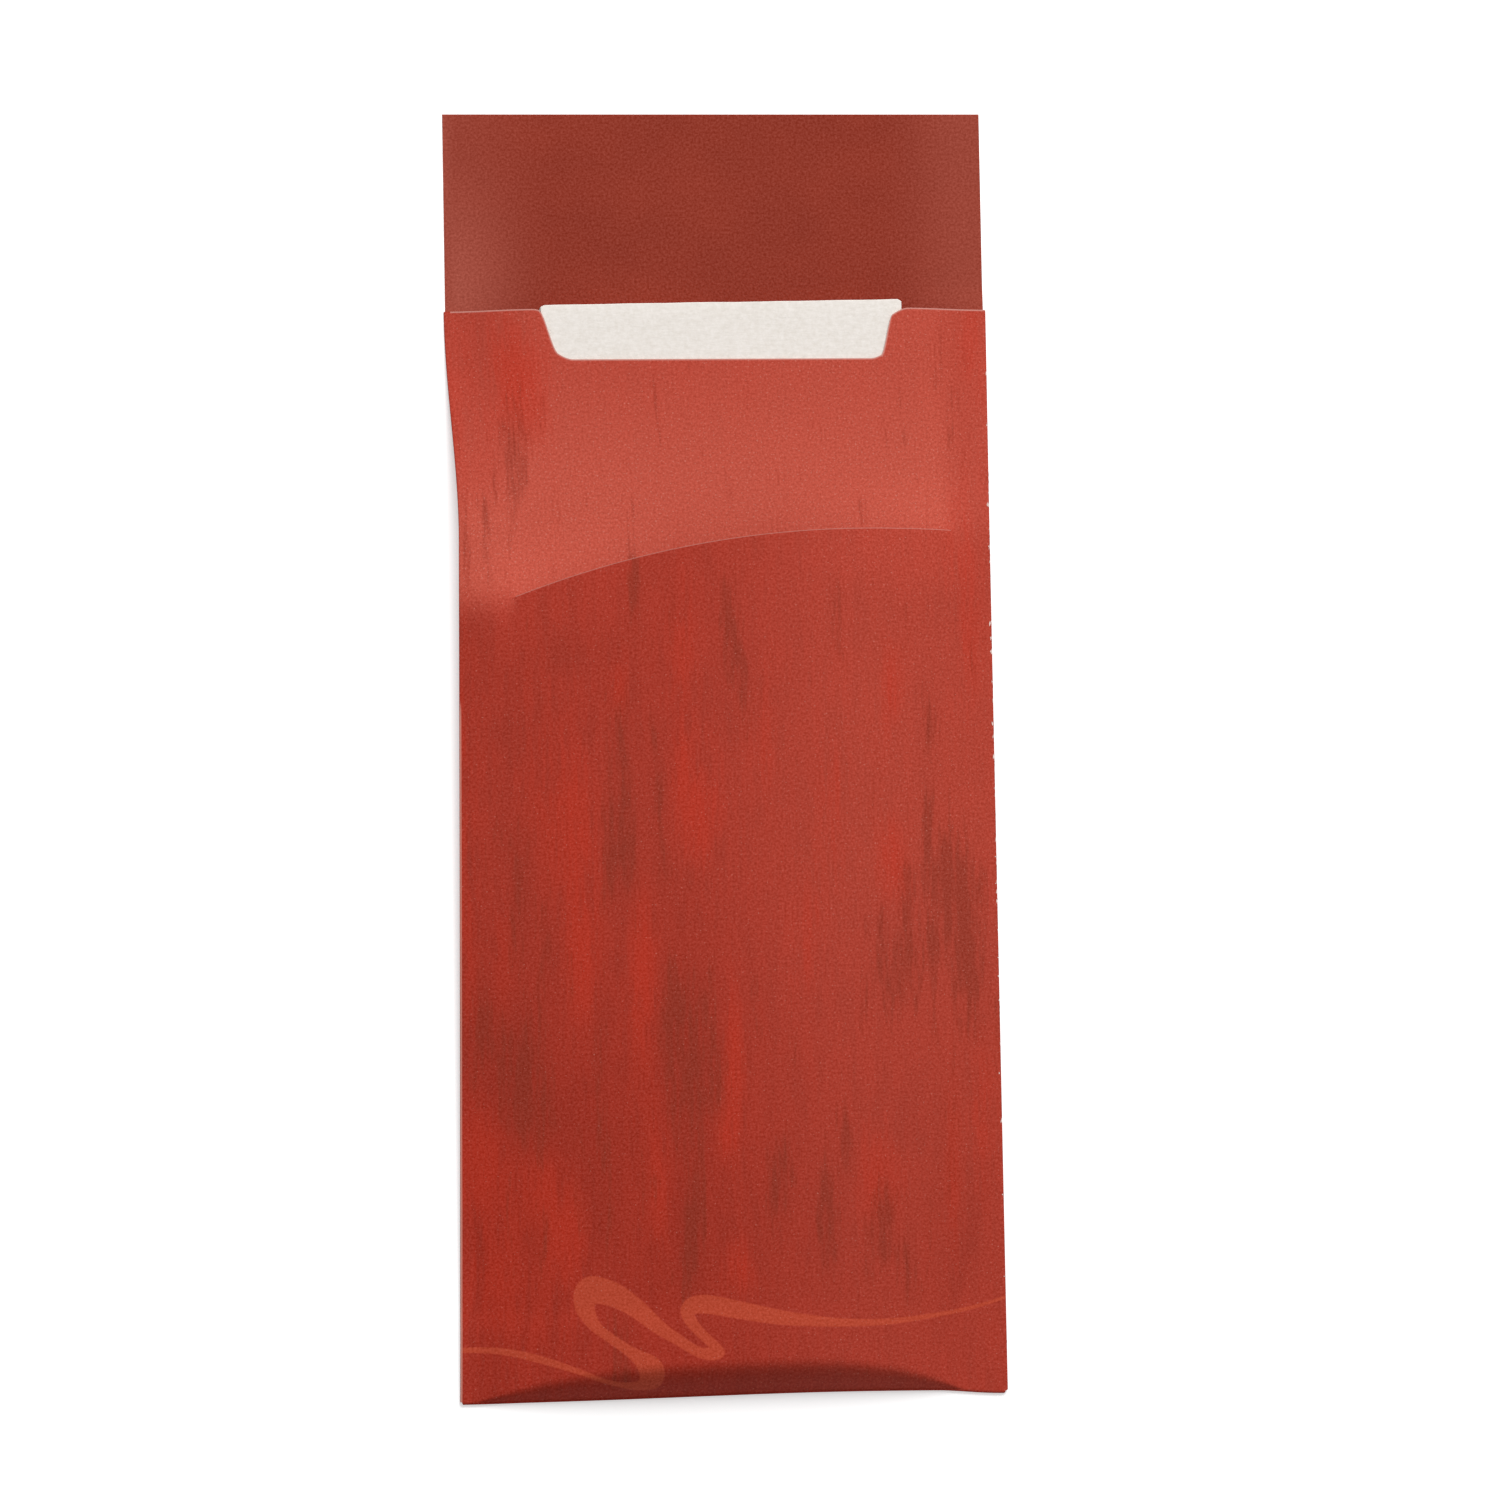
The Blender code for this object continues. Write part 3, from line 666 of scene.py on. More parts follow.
def cut_pattern():
    """The flat pattern on a grid of columns and rows: its waste is gone and its slit is open."""
    sheet = bmesh.new()
    bmesh.ops.create_grid(sheet, x_segments=LAST_COLUMN, y_segments=LAST_ROW, size=1.0)
    for vertex in sheet.verts:
        vertex.co.x = round((vertex.co.x + 1.0) / 2.0 * LAST_COLUMN)
        vertex.co.y = round((vertex.co.y + 1.0) / 2.0 * LAST_ROW)
    waste = [face for face in sheet.faces if not in_pattern(
        min(vertex.co.x for vertex in face.verts), min(vertex.co.y for vertex in face.verts))]
    bmesh.ops.delete(sheet, geom=waste, context="FACES")
    cut = []
    for edge in sheet.edges:
        a, b = edge.verts
        if a.co.y == b.co.y and on_slit(int(min(a.co.x, b.co.x)), a.co.y):
            cut.append(edge)
    bmesh.ops.split_edges(sheet, edges=cut)
    return sheet


def printed_sheet():
    """The cut and folded sheet, with the soft fields of its print and of its painted light kept on its
    points.
    """
    sheet = cut_pattern()
    layers = {}
    for name in (*PRINT_AND_LIGHT_FIELDS, "fold_wear"):
        layers[name] = sheet.verts.layers.float.new(name)
    pattern = sheet.loops.layers.uv.new("pattern")
    folded = []
    for vertex in sheet.verts:
        above_slit = all(face.calc_center_median().y > SLIT_ROW for face in vertex.link_faces)
        folded.append((*fold_bag(int(vertex.co.x), int(vertex.co.y), above_slit), above_slit))
    flat = {}
    for vertex, (place, print_place, above_slit) in zip(sheet.verts, folded):
        across, up = print_place
        flat[vertex] = print_place
        ribbon_side, ribbon_half = ribbon_at(across, up)
        fields = {
            "smear": spots_at(across, up, SMEARS),
            "glow": spots_at(across, up, GLOWS),
            "bloom": painted_light_at(across, up, above_slit),
            "ribbon_side": ribbon_side,
            "ribbon_half": ribbon_half,
            "cut_edge": min(top_distance(across, up), lip_distance(across, up, above_slit)),
            # The left fold's pale line: worn ink and a painted highlight, below the given height only
            "fold_edge": abs(across - LEFT_X + 0.3 * FOLD_RADIUS) + fade(up, PALE_FOLD_TOP, 10.0),
            "fold_wear": fold_wear(across, up),
        }
        for name, value in fields.items():
            vertex[layers[name]] = value
        vertex.co = (place[0] * MM, (place[1] - BACK_HEIGHT / 2.0) * MM, place[2] * MM)
    bmesh.ops.reverse_faces(sheet, faces=sheet.faces)
    for face in sheet.faces:
        for loop in face.loops:
            across, up = flat[loop.vert]
            loop[pattern].uv = ((across + SHEET_ACROSS) / SHEET_SPAN, (up + SHEET_UP) / SHEET_SPAN)
    return sheet


# Colours and materials

def linear(hex_colour):
    """An sRGB colour such as A63B2C as linear red, green, blue and alpha."""
    values = []
    for k in (0, 2, 4):
        value = int(hex_colour[k:k + 2], 16) / 255.0
        values.append(value / 12.92 if value <= 0.04045 else ((value + 0.055) / 1.055) ** 2.4)
    return (*values, 1.0)


def add(tree, kind, links=None, **settings):
    """Adds a node with its settings; links gives its inputs a value or another node's output."""
    node = tree.nodes.new(kind)
    for name, value in settings.items():
        setattr(node, name, value)
    for key, value in (links or {}).items():
        if isinstance(value, bpy.types.NodeSocket):
            tree.links.new(value, node.inputs[key])
        else:
            node.inputs[key].default_value = value
    return node


def new_material(name, **values):
    """A material with these values on its shader: the material, its tree and its shader."""
    paint = bpy.data.materials.new(name)
    paint.use_nodes = True
    shader = paint.node_tree.nodes["Principled BSDF"]
    for key, value in values.items():
        shader.inputs[key.replace("_", " ")].default_value = value
    return paint, paint.node_tree, shader


def laid_over(tree, under, tint, field, low, high, most=1.0, **settings):
    """Lays a tint over a colour: none of it where the field is low, the most where it is high."""
    share = add(tree, "ShaderNodeMapRange", {
        "Value": field, 1: low, 2: high, 4: most}, **settings).outputs[0]
    return add(tree, "ShaderNodeMix", {
        0: share, 6: under, 7: linear(tint)}, data_type="RGBA").outputs[2]


def fibre_grain(tree, flat, colour):
    """Breaks an ink up by the paper's fibres, whose pale clumps are some 0.4 mm across."""
    grain = add(tree, "ShaderNodeTexNoise", {
        "Vector": flat, "Scale": 2.6, "Detail": 3.0, "Roughness": 0.75}).outputs["Fac"]
    ink = add(tree, "ShaderNodeMapRange", {"Value": grain, 1: 0.2, 2: 0.8, 3: 0.7, 4: 1.3}).outputs[0]
    inked = add(tree, "ShaderNodeVectorMath", {0: colour, 1: ink}, operation="MULTIPLY").outputs[0]
    return laid_over(tree, inked, "E6C4B8", grain, 0.4, 0.8, 0.07)


def fibre_relief(tree, flat, shader):
    """Lets the light catch the paper's fibres, some 0.3 mm from one to the next."""
    fibres = add(tree, "ShaderNodeTexNoise", {
        "Vector": flat, "Scale": 3.0, "Detail": 4.0, "Roughness": 0.65}).outputs["Fac"]
    relief = add(tree, "ShaderNodeBump", {"Strength": 0.35, "Distance": 0.00006, "Height": fibres})
    tree.links.new(relief.outputs["Normal"], shader.inputs["Normal"])


def printed_paper():
    """Uncoated 120 g paper, offset printed all over: a mottled red wash with dry-brush smears.

    The ink sinks in, so it is matt, and the paper's fibres break it up into a fine grain.
    Sheen and light are painted onto it as a paler, pinker ground.
    """
    paint, tree, shader = new_material(
        "offset_printed_red_paper", Roughness=0.6, Specular_IOR_Level=0.03)
    uv = add(tree, "ShaderNodeUVMap", uv_map="pattern").outputs["UV"]
    flat = add(tree, "ShaderNodeMapping", {
        "Vector": uv, "Scale": (SHEET_SPAN, SHEET_SPAN, 1.0),
        "Location": (-SHEET_ACROSS, -SHEET_UP, 0.0)}).outputs["Vector"]
    fields = {}
    for name in PRINT_AND_LIGHT_FIELDS:
        fields[name] = add(tree, "ShaderNodeAttribute", attribute_name=name).outputs["Fac"]

    # Clouds 25 mm across, and brush marks drawn along the bag: bands 2.4 mm wide, hairs 0.6 mm wide
    clouds = add(tree, "ShaderNodeTexNoise", {
        "Vector": flat, "Scale": 0.04, "Detail": 6.0, "Roughness": 0.75}).outputs["Fac"]
    band_place = add(tree, "ShaderNodeMapping", {
        "Vector": flat, "Scale": (0.42, 0.055, 1.0)}).outputs["Vector"]
    bands = add(tree, "ShaderNodeTexNoise", {
        "Vector": band_place, "Scale": 1.0, "Detail": 3.0, "Roughness": 0.55}).outputs["Fac"]
    hair_place = add(tree, "ShaderNodeMapping", {
        "Vector": flat, "Scale": (1.6, 0.17, 1.0)}).outputs["Vector"]
    hairs = add(tree, "ShaderNodeTexNoise", {
        "Vector": hair_place, "Scale": 1.0, "Detail": 2.0, "Roughness": 0.5}).outputs["Fac"]
    brush = add(tree, "ShaderNodeMix", {0: 0.4, 2: bands, 3: hairs}, data_type="FLOAT").outputs[0]
    specks = add(tree, "ShaderNodeTexNoise", {
        "Vector": flat, "Scale": 3.2, "Detail": 1.0, "Roughness": 0.5}).outputs["Fac"]

    # A clear red and a duller one drift into each other
    drift = add(tree, "ShaderNodeMix", {0: 0.6, 2: clouds, 3: brush}, data_type="FLOAT").outputs[0]
    ground = laid_over(tree, linear("992A1A"), "AD301F", drift, 0.36, 0.64)
    # Painted sheen and light: the ground paler and pinker where the field of painted light is high
    painted_lit = laid_over(tree, ground, "C85745", fields["bloom"], 0.0, 1.0, 0.8)
    # The brush marks fray the glows, and the smears more so
    glow_reach = add(tree, "ShaderNodeMath", {
        0: brush, 1: 1.8, 2: -0.92}, operation="MULTIPLY_ADD").outputs[0]
    glow_at = add(tree, "ShaderNodeMath", {0: fields["glow"], 1: glow_reach}, operation="ADD").outputs[0]
    glowing = laid_over(
        tree, painted_lit, "BD301B", glow_at, 0.0, 1.0, 0.7, interpolation_type="SMOOTHSTEP")
    frayed = add(tree, "ShaderNodeMath", {
        0: brush, 1: 3.8, 2: -1.98}, operation="MULTIPLY_ADD").outputs[0]
    smear_at = add(tree, "ShaderNodeMath", {0: fields["smear"], 1: frayed}, operation="ADD").outputs[0]
    brushed = laid_over(
        tree, glowing, "7F2D1C", smear_at, 0.1, 1.0, 0.58, interpolation_type="SMOOTHSTEP")
    # The ribbon is a lighter tint that lets the wash show through
    side = add(tree, "ShaderNodeMath", {0: fields["ribbon_side"]}, operation="ABSOLUTE").outputs[0]
    outside = add(tree, "ShaderNodeMath", {
        0: side, 1: fields["ribbon_half"]}, operation="SUBTRACT").outputs[0]
    ribboned = laid_over(tree, brushed, "C24B30", outside, 0.12, -0.12, 0.72)
    grained = fibre_grain(tree, flat, ribboned)
    # Bare fibres show as pinkish specks, more of them where the painted sheen and light lie
    speck_bias = add(tree, "ShaderNodeMath", {
        0: fields["bloom"], 1: 0.07, 2: -0.69}, operation="MULTIPLY_ADD").outputs[0]
    bare = add(tree, "ShaderNodeMath", {0: specks, 1: speck_bias}, operation="ADD").outputs[0]
    specked = laid_over(tree, grained, "D98C7E", bare, 0.0, 0.08, 0.4)
    # The die crushes the paper's edge, and 0.2 mm of its white core shows beside the cut; the line is also
    # a painted highlight where the edge catches the light
    edged = laid_over(tree, specked, "E3B9AE", fields["cut_edge"], 0.28, 0.06, 0.5)
    # A pale line 0.3 mm wide along the left fold: ink worn thin at the fold, and a painted highlight on
    # the fold's crown
    pale_fold = laid_over(tree, edged, "DA9788", fields["fold_edge"], 0.18, 0.04, 0.75)
    tree.links.new(pale_fold, shader.inputs["Base Color"])
    fibre_relief(tree, flat, shader)
    return paint


def inner_paper():
    """The same sheet's inner face: one flat dark red tint, printed first and a little uneven,
    with painted light that makes it paler towards the header's edges.
    """
    paint, tree, shader = new_material(
        "flat_tinted_inner_face", Roughness=0.68, Specular_IOR_Level=0.03)
    uv = add(tree, "ShaderNodeUVMap", uv_map="pattern").outputs["UV"]
    flat = add(tree, "ShaderNodeMapping", {
        "Vector": uv, "Scale": (SHEET_SPAN, SHEET_SPAN, 1.0)}).outputs["Vector"]
    clouds = add(tree, "ShaderNodeTexNoise", {
        "Vector": flat, "Scale": 0.05, "Detail": 3.0, "Roughness": 0.6}).outputs["Fac"]
    tint = laid_over(tree, linear("862D1D"), "8F3221", clouds, 0.32, 0.68)
    # Painted light: the tint paler and pinker towards the header's edges
    bloom = add(tree, "ShaderNodeAttribute", attribute_name="bloom").outputs["Fac"]
    painted_lit = laid_over(tree, tint, "B05A4B", bloom, 0.0, 1.0)
    grained = fibre_grain(tree, flat, painted_lit)
    tree.links.new(grained, shader.inputs["Base Color"])
    fibre_relief(tree, flat, shader)
    return paint


def paper_core():
    """The die-cut edge of the sheet: white wood-pulp core with the red ink dragged over it."""
    paint, tree, shader = new_material("cut_paper_core", Roughness=0.85)
    place = add(tree, "ShaderNodeTexCoord").outputs["Object"]
    # The ink's drag marks repeat every 0.5 mm or so
    drag = add(tree, "ShaderNodeTexNoise", {
        "Vector": place, "Scale": 2000.0, "Detail": 2.0, "Roughness": 0.6}).outputs["Fac"]
    colour = laid_over(tree, linear("BE7264"), "E4C4B8", drag, 0.4, 0.6)
    tree.links.new(colour, shader.inputs["Base Color"])
    return paint


def white_tissue():
    """Creped cellulose tissue, calendered flat: off-white, soft and quite matt."""
    paint, tree, shader = new_material(
        "creped_white_tissue", Roughness=0.95, Specular_IOR_Level=0.2, Sheen_Weight=0.15)
    place = add(tree, "ShaderNodeTexCoord").outputs["Object"]
    mottle = add(tree, "ShaderNodeTexNoise", {
        "Vector": place, "Scale": 1400.0, "Detail": 3.0, "Roughness": 0.7}).outputs["Fac"]
    colour = laid_over(tree, linear("E0D9D1"), "ECE6E0", mottle, 0.3, 0.7)
    tree.links.new(colour, shader.inputs["Base Color"])
    # Crepe ridges run across the sheet, 0.4 mm apart
    across = add(tree, "ShaderNodeMapping", {
        "Vector": place, "Scale": (700.0, 2500.0, 700.0)}).outputs["Vector"]
    crepe = add(tree, "ShaderNodeTexNoise", {
        "Vector": across, "Scale": 1.0, "Detail": 3.0, "Roughness": 0.6}).outputs["Fac"]
    relief = add(tree, "ShaderNodeBump", {"Strength": 0.5, "Distance": 0.00008, "Height": crepe})
    tree.links.new(relief.outputs["Normal"], shader.inputs["Normal"])
    return paint


def bare_paper():
    """Flecks of white paper where the print has cracked off: torn fibres, quite matt."""
    paint, tree, shader = new_material("cracked_print_flecks", Roughness=0.9)
    place = add(tree, "ShaderNodeTexCoord").outputs["Object"]
    fibres = add(tree, "ShaderNodeTexNoise", {
        "Vector": place, "Scale": 2500.0, "Detail": 2.0}).outputs["Fac"]
    colour = laid_over(tree, linear("D9A99C"), "F1E6DE", fibres, 0.0, 1.0)
    tree.links.new(colour, shader.inputs["Base Color"])
    return paint


# Cracked print and the napkin

def new_tree(name, inputs, output):
    """A Geometry Nodes tree with these named inputs, and the sockets that give their values."""
    tree = bpy.data.node_groups.new(name, "GeometryNodeTree")
    for label, kind in inputs.items():
        tree.interface.new_socket(label, in_out="INPUT", socket_type="NodeSocket" + kind)
    tree.interface.new_socket(output, in_out="OUTPUT", socket_type="NodeSocketGeometry")
    return tree, add(tree, "NodeGroupInput").outputs


def fleck_tree(bare):
    """Small torn flecks scattered over a sheet where its fold_wear is high."""
    tree, size = new_tree("cracked_print", {
        "Sheet": "Object", "Density": "Float", "Fleck size": "Float", "Lift": "Float",
        "Seed": "Int"}, "Geometry")
    sheet = add(tree, "GeometryNodeObjectInfo", {"Object": size["Sheet"]}).outputs["Geometry"]
    wear = add(tree, "GeometryNodeInputNamedAttribute", {
        "Name": "fold_wear"}, data_type="FLOAT").outputs[0]
    density = add(tree, "ShaderNodeMath", {0: wear, 1: size["Density"]}, operation="MULTIPLY").outputs[0]
    spots = add(tree, "GeometryNodeDistributePointsOnFaces", {
        "Mesh": sheet, "Density": density, "Seed": size["Seed"]}, distribute_method="RANDOM").outputs
    disc = add(tree, "GeometryNodeMeshCircle", {
        "Vertices": FLECK_CORNERS, "Radius": 0.5}, fill_type="NGON").outputs[0]
    uneven = add(tree, "FunctionNodeRandomValue", {
        0: (0.55, 0.55, 0.0), 1: (1.3, 1.3, 0.0), "Seed": 3}, data_type="FLOAT_VECTOR").outputs[0]
    corner = add(tree, "GeometryNodeInputPosition").outputs[0]
    torn_corner = add(tree, "ShaderNodeVectorMath", {
        0: corner, 1: uneven}, operation="MULTIPLY").outputs[0]
    torn = add(tree, "GeometryNodeSetPosition", {
        "Geometry": disc, "Position": torn_corner}).outputs[0]
    # The paper cracks along the fold, so the flecks are long that way
    along = add(tree, "FunctionNodeAlignRotationToVector", {
        "Rotation": spots["Rotation"], "Vector": (0.0, 1.0, 0.0)}, axis="Y", pivot_axis="Z").outputs[0]
    askew = add(tree, "FunctionNodeRandomValue", {
        0: (0.0, 0.0, -0.3), 1: (0.0, 0.0, 0.3), "Seed": 5}, data_type="FLOAT_VECTOR").outputs[0]
    turned = add(tree, "FunctionNodeRotateRotation", {
        "Rotation": along, "Rotate By": askew}, rotation_space="LOCAL").outputs[0]
    spread_size = add(tree, "FunctionNodeRandomValue", {
        0: (0.3, 0.4, 1.0), 1: (0.7, 2.6, 1.0), "Seed": 8}, data_type="FLOAT_VECTOR").outputs[0]
    scale = add(tree, "ShaderNodeVectorMath", {
        0: spread_size, "Scale": size["Fleck size"]}, operation="SCALE").outputs[0]
    flecks = add(tree, "GeometryNodeInstanceOnPoints", {
        "Points": spots["Points"], "Instance": torn, "Rotation": turned, "Scale": scale}).outputs[0]
    loose = add(tree, "GeometryNodeRealizeInstances", {"Geometry": flecks}).outputs[0]
    normal = add(tree, "GeometryNodeInputNormal").outputs[0]
    rise = add(tree, "ShaderNodeVectorMath", {
        0: normal, "Scale": size["Lift"]}, operation="SCALE").outputs[0]
    raised = add(tree, "GeometryNodeSetPosition", {"Geometry": loose, "Offset": rise}).outputs[0]
    finished = add(tree, "GeometryNodeSetMaterial", {"Geometry": raised, "Material": bare}).outputs[0]
    add(tree, "NodeGroupOutput", {"Geometry": finished})
    return tree


def zigzag_tree():
    """A line laid to and fro in panels, each turn a round fold."""
    tree, size = new_tree("to_and_fro_fold", {
        "Panels": "Int", "Panel length": "Float", "Pitch": "Float", "Step": "Float"}, "Line")
    index = add(tree, "GeometryNodeInputIndex").outputs[0]
    count = add(tree, "ShaderNodeMath", {0: size["Panels"], 1: 2.0}, operation="MULTIPLY").outputs[0]
    halved = add(tree, "ShaderNodeMath", {0: index, 1: 2.0}, operation="DIVIDE").outputs[0]
    level = add(tree, "ShaderNodeMath", {0: halved}, operation="FLOOR").outputs[0]
    # Corners 1 and 2 of every four lie at the far end of the panel
    after = add(tree, "ShaderNodeMath", {0: index, 1: 1.0}, operation="ADD").outputs[0]
    turn = add(tree, "ShaderNodeMath", {0: after, 1: 4.0}, operation="MODULO").outputs[0]
    far = add(tree, "ShaderNodeMath", {0: turn, 1: 1.5}, operation="GREATER_THAN").outputs[0]
    along = add(tree, "ShaderNodeMath", {0: far, 1: size["Panel length"]}, operation="MULTIPLY").outputs[0]
    height = add(tree, "ShaderNodeMath", {0: level, 1: size["Pitch"]}, operation="MULTIPLY").outputs[0]
    corners = add(tree, "GeometryNodePoints", {
        "Count": count,
        "Position": add(tree, "ShaderNodeCombineXYZ", {"X": along, "Y": height}).outputs[0]}).outputs[0]
    line = add(tree, "GeometryNodePointsToCurves", {"Points": corners}).outputs[0]
    radius = add(tree, "ShaderNodeMath", {0: size["Pitch"], 1: 0.5}, operation="MULTIPLY").outputs[0]
    folded = add(tree, "GeometryNodeFilletCurve", {
        "Curve": line, "Radius": radius, "Limit Radius": True, "Count": FOLD_FACETS},
        mode="POLY").outputs[0]
    # Only the long runs are divided, one step at a time
    place = add(tree, "GeometryNodeInputPosition").outputs[0]
    next_place = add(tree, "GeometryNodeFieldAtIndex", {"Index": after, "Value": place},
                     data_type="FLOAT_VECTOR", domain="POINT").outputs[0]
    run = add(tree, "ShaderNodeVectorMath", {
        0: place, 1: next_place}, operation="DISTANCE").outputs["Value"]
    cuts = add(tree, "ShaderNodeMath", {0: run, 1: size["Step"]}, operation="DIVIDE").outputs[0]
    divided = add(tree, "GeometryNodeSubdivideCurve", {"Curve": folded, "Cuts": cuts}).outputs[0]
    add(tree, "NodeGroupOutput", {"Line": divided})
    return tree


def napkin_tree(tissue):
    """A tissue folded in half over its top edge, then to and fro across the bag."""
    fold = zigzag_tree()
    tree, size = new_tree("folded_napkin", {
        "Panels": "Int", "Width": "Float", "Length": "Float", "Pitch": "Float"}, "Geometry")
    leaf_pitch = add(tree, "ShaderNodeMath", {0: size["Pitch"], 1: 0.5}, operation="MULTIPLY").outputs[0]
    strip = add(tree, "GeometryNodeGroup", {
        "Panels": size["Panels"], "Panel length": size["Width"], "Pitch": size["Pitch"],
        "Step": NAPKIN_STEP * MM}, node_tree=fold).outputs[0]
    half = add(tree, "GeometryNodeGroup", {
        "Panels": NAPKIN_LEAVES, "Panel length": size["Length"], "Pitch": leaf_pitch,
        "Step": NAPKIN_STEP * MM}, node_tree=fold).outputs[0]
    upright = add(tree, "GeometryNodeTransform", {
        "Geometry": strip, "Rotation": (math.pi / 2.0, 0.0, 0.0)}).outputs[0]
    swept = add(tree, "GeometryNodeCurveToMesh", {"Curve": upright, "Profile Curve": half}).outputs[0]
    whole = add(tree, "GeometryNodeRealizeInstances", {"Geometry": swept}).outputs[0]
    finished = add(tree, "GeometryNodeSetMaterial", {"Geometry": whole, "Material": tissue}).outputs[0]
    add(tree, "NodeGroupOutput", {"Geometry": finished})
    return tree


def placed(name, data):
    """A new object of the scene, at the origin."""
    thing = bpy.data.objects.new(name, data)
    bpy.context.scene.collection.objects.link(thing)
    return thing


def plain_mesh(thing, name):
    """The mesh that the object's modifiers leave it with."""
    shape = thing.evaluated_get(bpy.context.evaluated_depsgraph_get())
    mesh = bpy.data.meshes.new_from_object(shape)
    mesh.name = name
    return mesh


def baked(tree, values, name):
    """Runs a Geometry Nodes tree with these inputs and keeps its result as a plain object."""
    carrier = placed(name + "_carrier", bpy.data.meshes.new(name + "_carrier"))
    maker = carrier.modifiers.new("maker", "NODES")
    maker.node_group = tree
    for item in tree.interface.items_tree:
        if item.in_out == "INPUT":
            maker[item.identifier] = values[item.name]
    mesh = plain_mesh(carrier, name)
    bpy.data.objects.remove(carrier)
    return placed(name, mesh)


def thickened(piece, thickness, **settings):
    """Gives a sheet its thickness and keeps the result as the piece's own mesh."""
    shell = piece.modifiers.new("thickness", "SOLIDIFY")
    shell.thickness = thickness * MM
    shell.offset = 0.0
    shell.use_quality_normals = True
    for name, value in settings.items():
        setattr(shell, name, value)
    mesh = plain_mesh(piece, piece.name)
    piece.modifiers.remove(shell)
    piece.data = mesh
    mesh.set_sharp_from_angle(angle=SHARP_ANGLE)
    return piece


def make_bag():
    """The printed bag, and the flecks where its print has cracked along the right fold."""
    sheet = printed_sheet()
    mesh = bpy.data.meshes.new("printed_bag")
    sheet.to_mesh(mesh)
    sheet.free()
    mesh.shade_smooth()
    for paint in (printed_paper(), inner_paper(), paper_core()):
        mesh.materials.append(paint)
    bag = placed("printed_bag", mesh)
    flecks = baked(fleck_tree(bare_paper()), {
        "Sheet": bag, "Density": FLECK_DENSITY, "Fleck size": FLECK_SIZE * MM,
        "Lift": (PAPER / 2.0 + FLECK_LIFT) * MM, "Seed": FLECK_SEED}, "cracked_print")
    thickened(bag, PAPER, use_even_offset=True, material_offset=1, material_offset_rim=2)
    return bag, flecks


def make_napkin():
    """The folded napkin in its place behind the slit, its two top corners rounded."""
    run = NAPKIN_WIDTH - NAPKIN_FOLDS - TISSUE
    length = NAPKIN_TOP - NAPKIN_BOTTOM
    flat_part = NAPKIN_WIDTH / 2.0 - NAPKIN_PITCH
    napkin = baked(napkin_tree(white_tissue()), {
        "Panels": NAPKIN_PANELS, "Width": run * MM, "Length": (length - TISSUE) * MM,
        "Pitch": NAPKIN_PITCH * MM}, "folded_napkin")
    sides = [vertex.co.x for vertex in napkin.data.vertices]
    middle = (max(sides) + min(sides)) / 2.0
    lowest = min(vertex.co.z for vertex in napkin.data.vertices)
    for vertex in napkin.data.vertices:
        across = -(vertex.co.x - middle) / MM
        # The panels' columns crowd towards the folds, so that the corners come out round
        share = min(1.0, abs(across) / flat_part)
        across += math.copysign(NAPKIN_CROWDING * flat_part * share * (1.0 - share * share), across)
        along = -vertex.co.y / MM
        outside = clamp((abs(across) - NAPKIN_WIDTH / 2.0) / NAPKIN_CORNER + 1.0)
        drop = NAPKIN_CORNER * (1.0 - math.sqrt(1.0 - outside * outside))
        drop *= (along / length) ** NAPKIN_CORNER_REACH
        # Its top edge lies a little askew and waves a little
        wave = NAPKIN_WAVE * noise.noise(Vector((across / NAPKIN_WAVE_WIDTH, 0.0, 1.0)))
        wave += NAPKIN_TURN * across
        wave *= fade(along, NAPKIN_WAVE_FROM, NAPKIN_WAVE_FADE)
        vertex.co.x = (NAPKIN_CENTRE + across) * MM
        vertex.co.y = (NAPKIN_BOTTOM + along - drop + wave - BACK_HEIGHT / 2.0) * MM
        vertex.co.z += (NAPKIN_UNDER + TISSUE / 2.0) * MM - lowest
    napkin.data.shade_smooth()
    return thickened(napkin, TISSUE)


# The studio

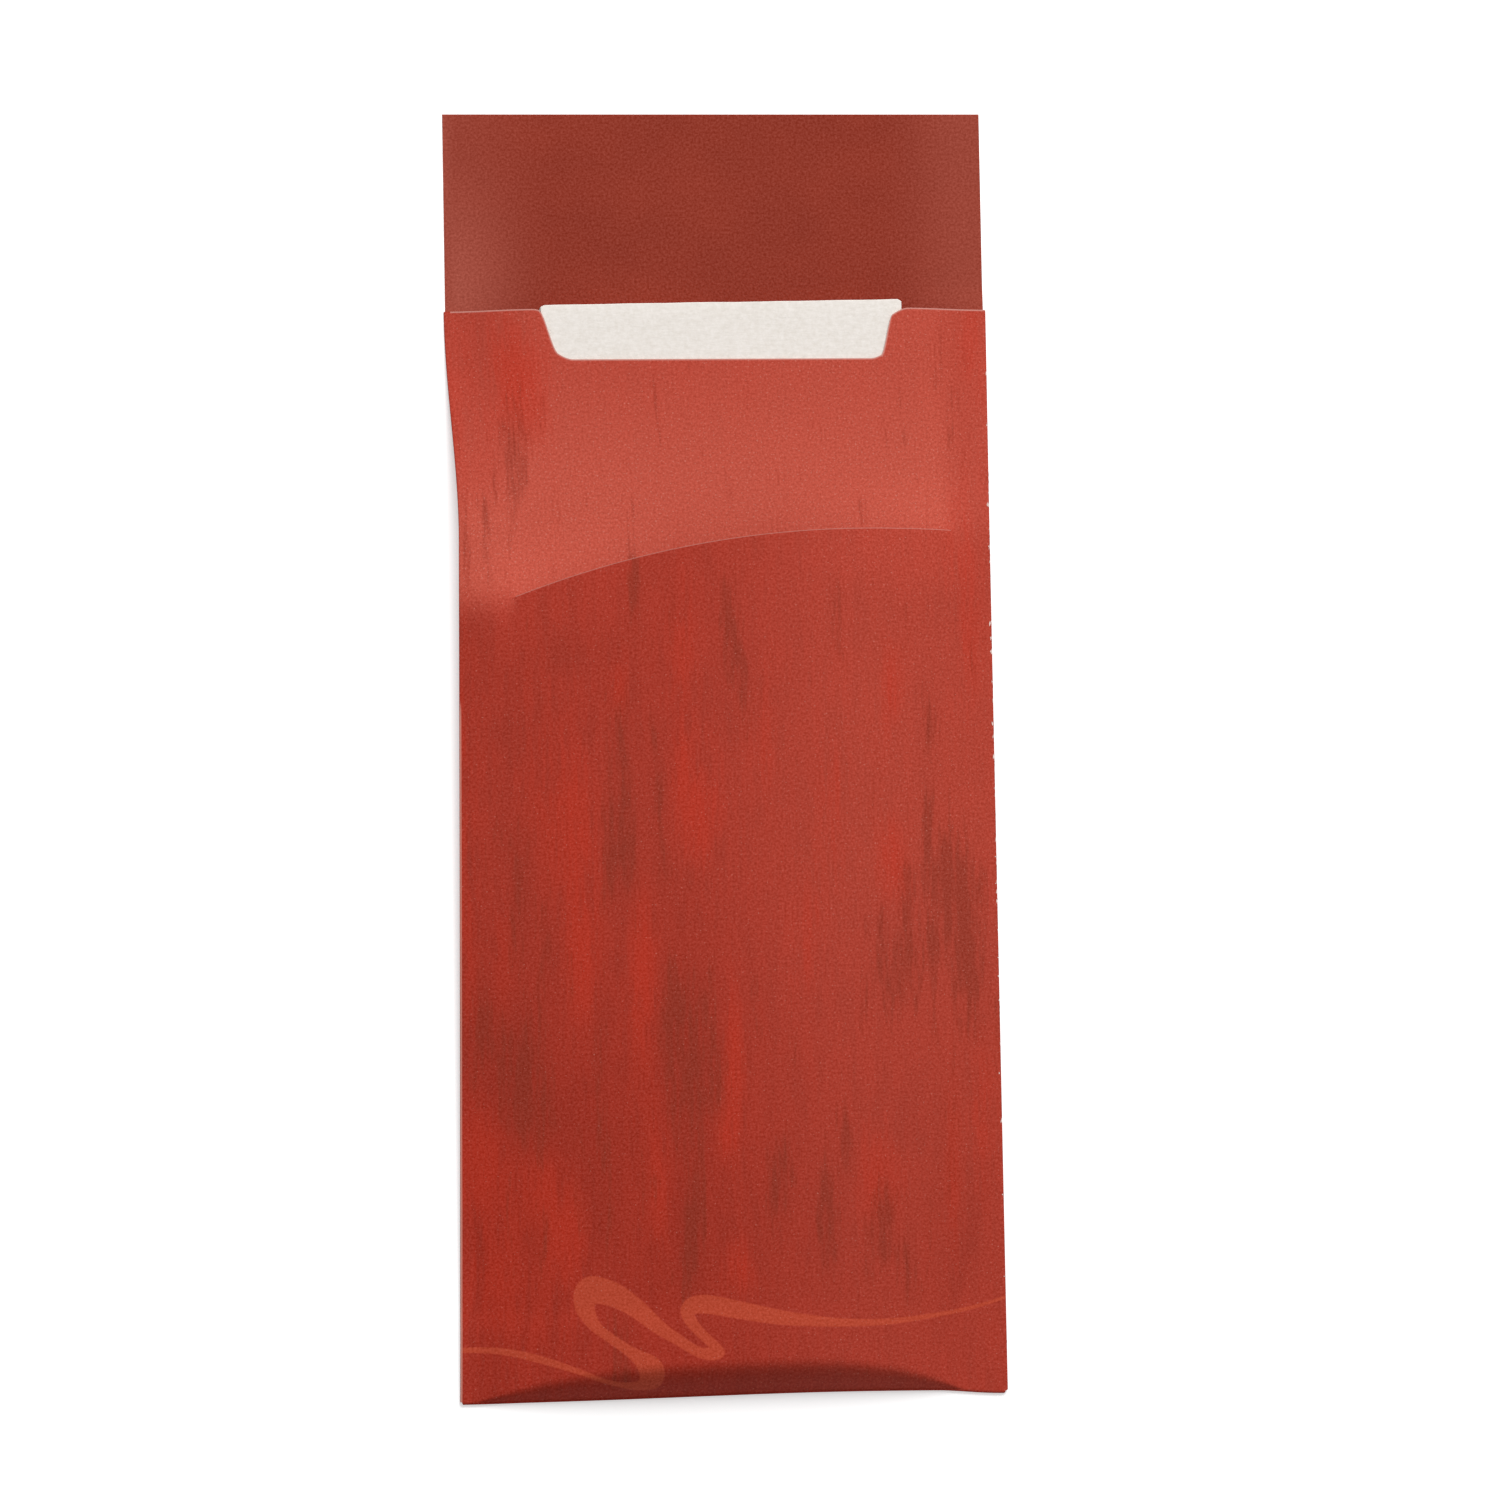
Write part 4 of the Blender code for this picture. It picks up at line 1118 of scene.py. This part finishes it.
def make_floor():
    """A plain white table: the camera sees it as white, and the bag's soft shadow falls on it."""
    mesh = bpy.data.meshes.new("floor")
    table = bmesh.new()
    bmesh.ops.create_grid(table, x_segments=1, y_segments=1, size=3.0)
    table.to_mesh(mesh)
    table.free()
    paint, tree, shader = new_material(
        "matt_white_table", Base_Color=linear("ECECEC"), Roughness=1.0, Specular_IOR_Level=0.0)
    seen = add(tree, "ShaderNodeLightPath").outputs
    camera_or_gloss = add(tree, "ShaderNodeMath", {
        0: seen["Is Camera Ray"], 1: seen["Is Glossy Ray"]}, operation="MAXIMUM").outputs[0]
    any_view = add(tree, "ShaderNodeMath", {
        0: camera_or_gloss, 1: seen["Is Transmission Ray"]}, operation="MAXIMUM").outputs[0]
    lift = add(tree, "ShaderNodeMath", {0: any_view, 1: 0.46}, operation="MULTIPLY").outputs[0]
    glow = add(tree, "ShaderNodeEmission", {"Color": (1.0, 1.0, 1.0, 1.0), "Strength": lift}).outputs[0]
    both = add(tree, "ShaderNodeAddShader", {0: shader.outputs[0], 1: glow}).outputs[0]
    tree.links.new(both, tree.nodes["Material Output"].inputs["Surface"])
    mesh.materials.append(paint)
    floor = placed("floor", mesh)


def make_light(name, place, aim, width, power):
    """A square lamp, in metres and watts, turned towards its aim."""
    lamp = bpy.data.lights.new(name, "AREA")
    lamp.shape = "SQUARE"
    lamp.size = width
    lamp.energy = power
    holder = placed(name, lamp)
    holder.location = place
    holder.rotation_euler = (Vector(aim) - Vector(place)).to_track_quat("-Z", "Y").to_euler()


def make_world():
    """Even light from all round, seen by the camera as plain white."""
    world = bpy.data.worlds.new("studio")
    world.use_nodes = True
    tree = world.node_tree
    seen = add(tree, "ShaderNodeLightPath").outputs
    strength = add(tree, "ShaderNodeMapRange", {
        "Value": seen["Is Camera Ray"], 3: 0.30, 4: 1.0}).outputs[0]
    light = tree.nodes["Background"]
    light.inputs["Color"].default_value = (1.0, 1.0, 1.0, 1.0)
    tree.links.new(strength, light.inputs["Strength"])
    bpy.context.scene.world = world


def make_camera():
    """A long lens a metre above the bag, a little to its left and tilted towards its top."""
    lens = bpy.data.cameras.new("camera")
    lens.lens = 153.12
    lens.sensor_width = 36.0
    lens.clip_start = 0.05
    lens.clip_end = 20.0
    camera = placed("camera", lens)
    camera.location = (-0.10443, -0.06648, 0.98351)
    camera.rotation_euler = (math.radians(3.977), math.radians(-6.229), math.radians(-1.053))
    bpy.context.scene.camera = camera


bag, flecks = make_bag()
napkin = make_napkin()
for piece in (bag, flecks, napkin):
    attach(piece, "root")
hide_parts("paper_bag")
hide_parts("napkin")

make_floor()
make_light("key", place=(0.25, 0.95, 1.10), aim=(0.0, 0.0, 0.0), width=0.8, power=21.5)
make_world()
make_camera()
bpy.context.scene.view_settings.view_transform = "Standard"
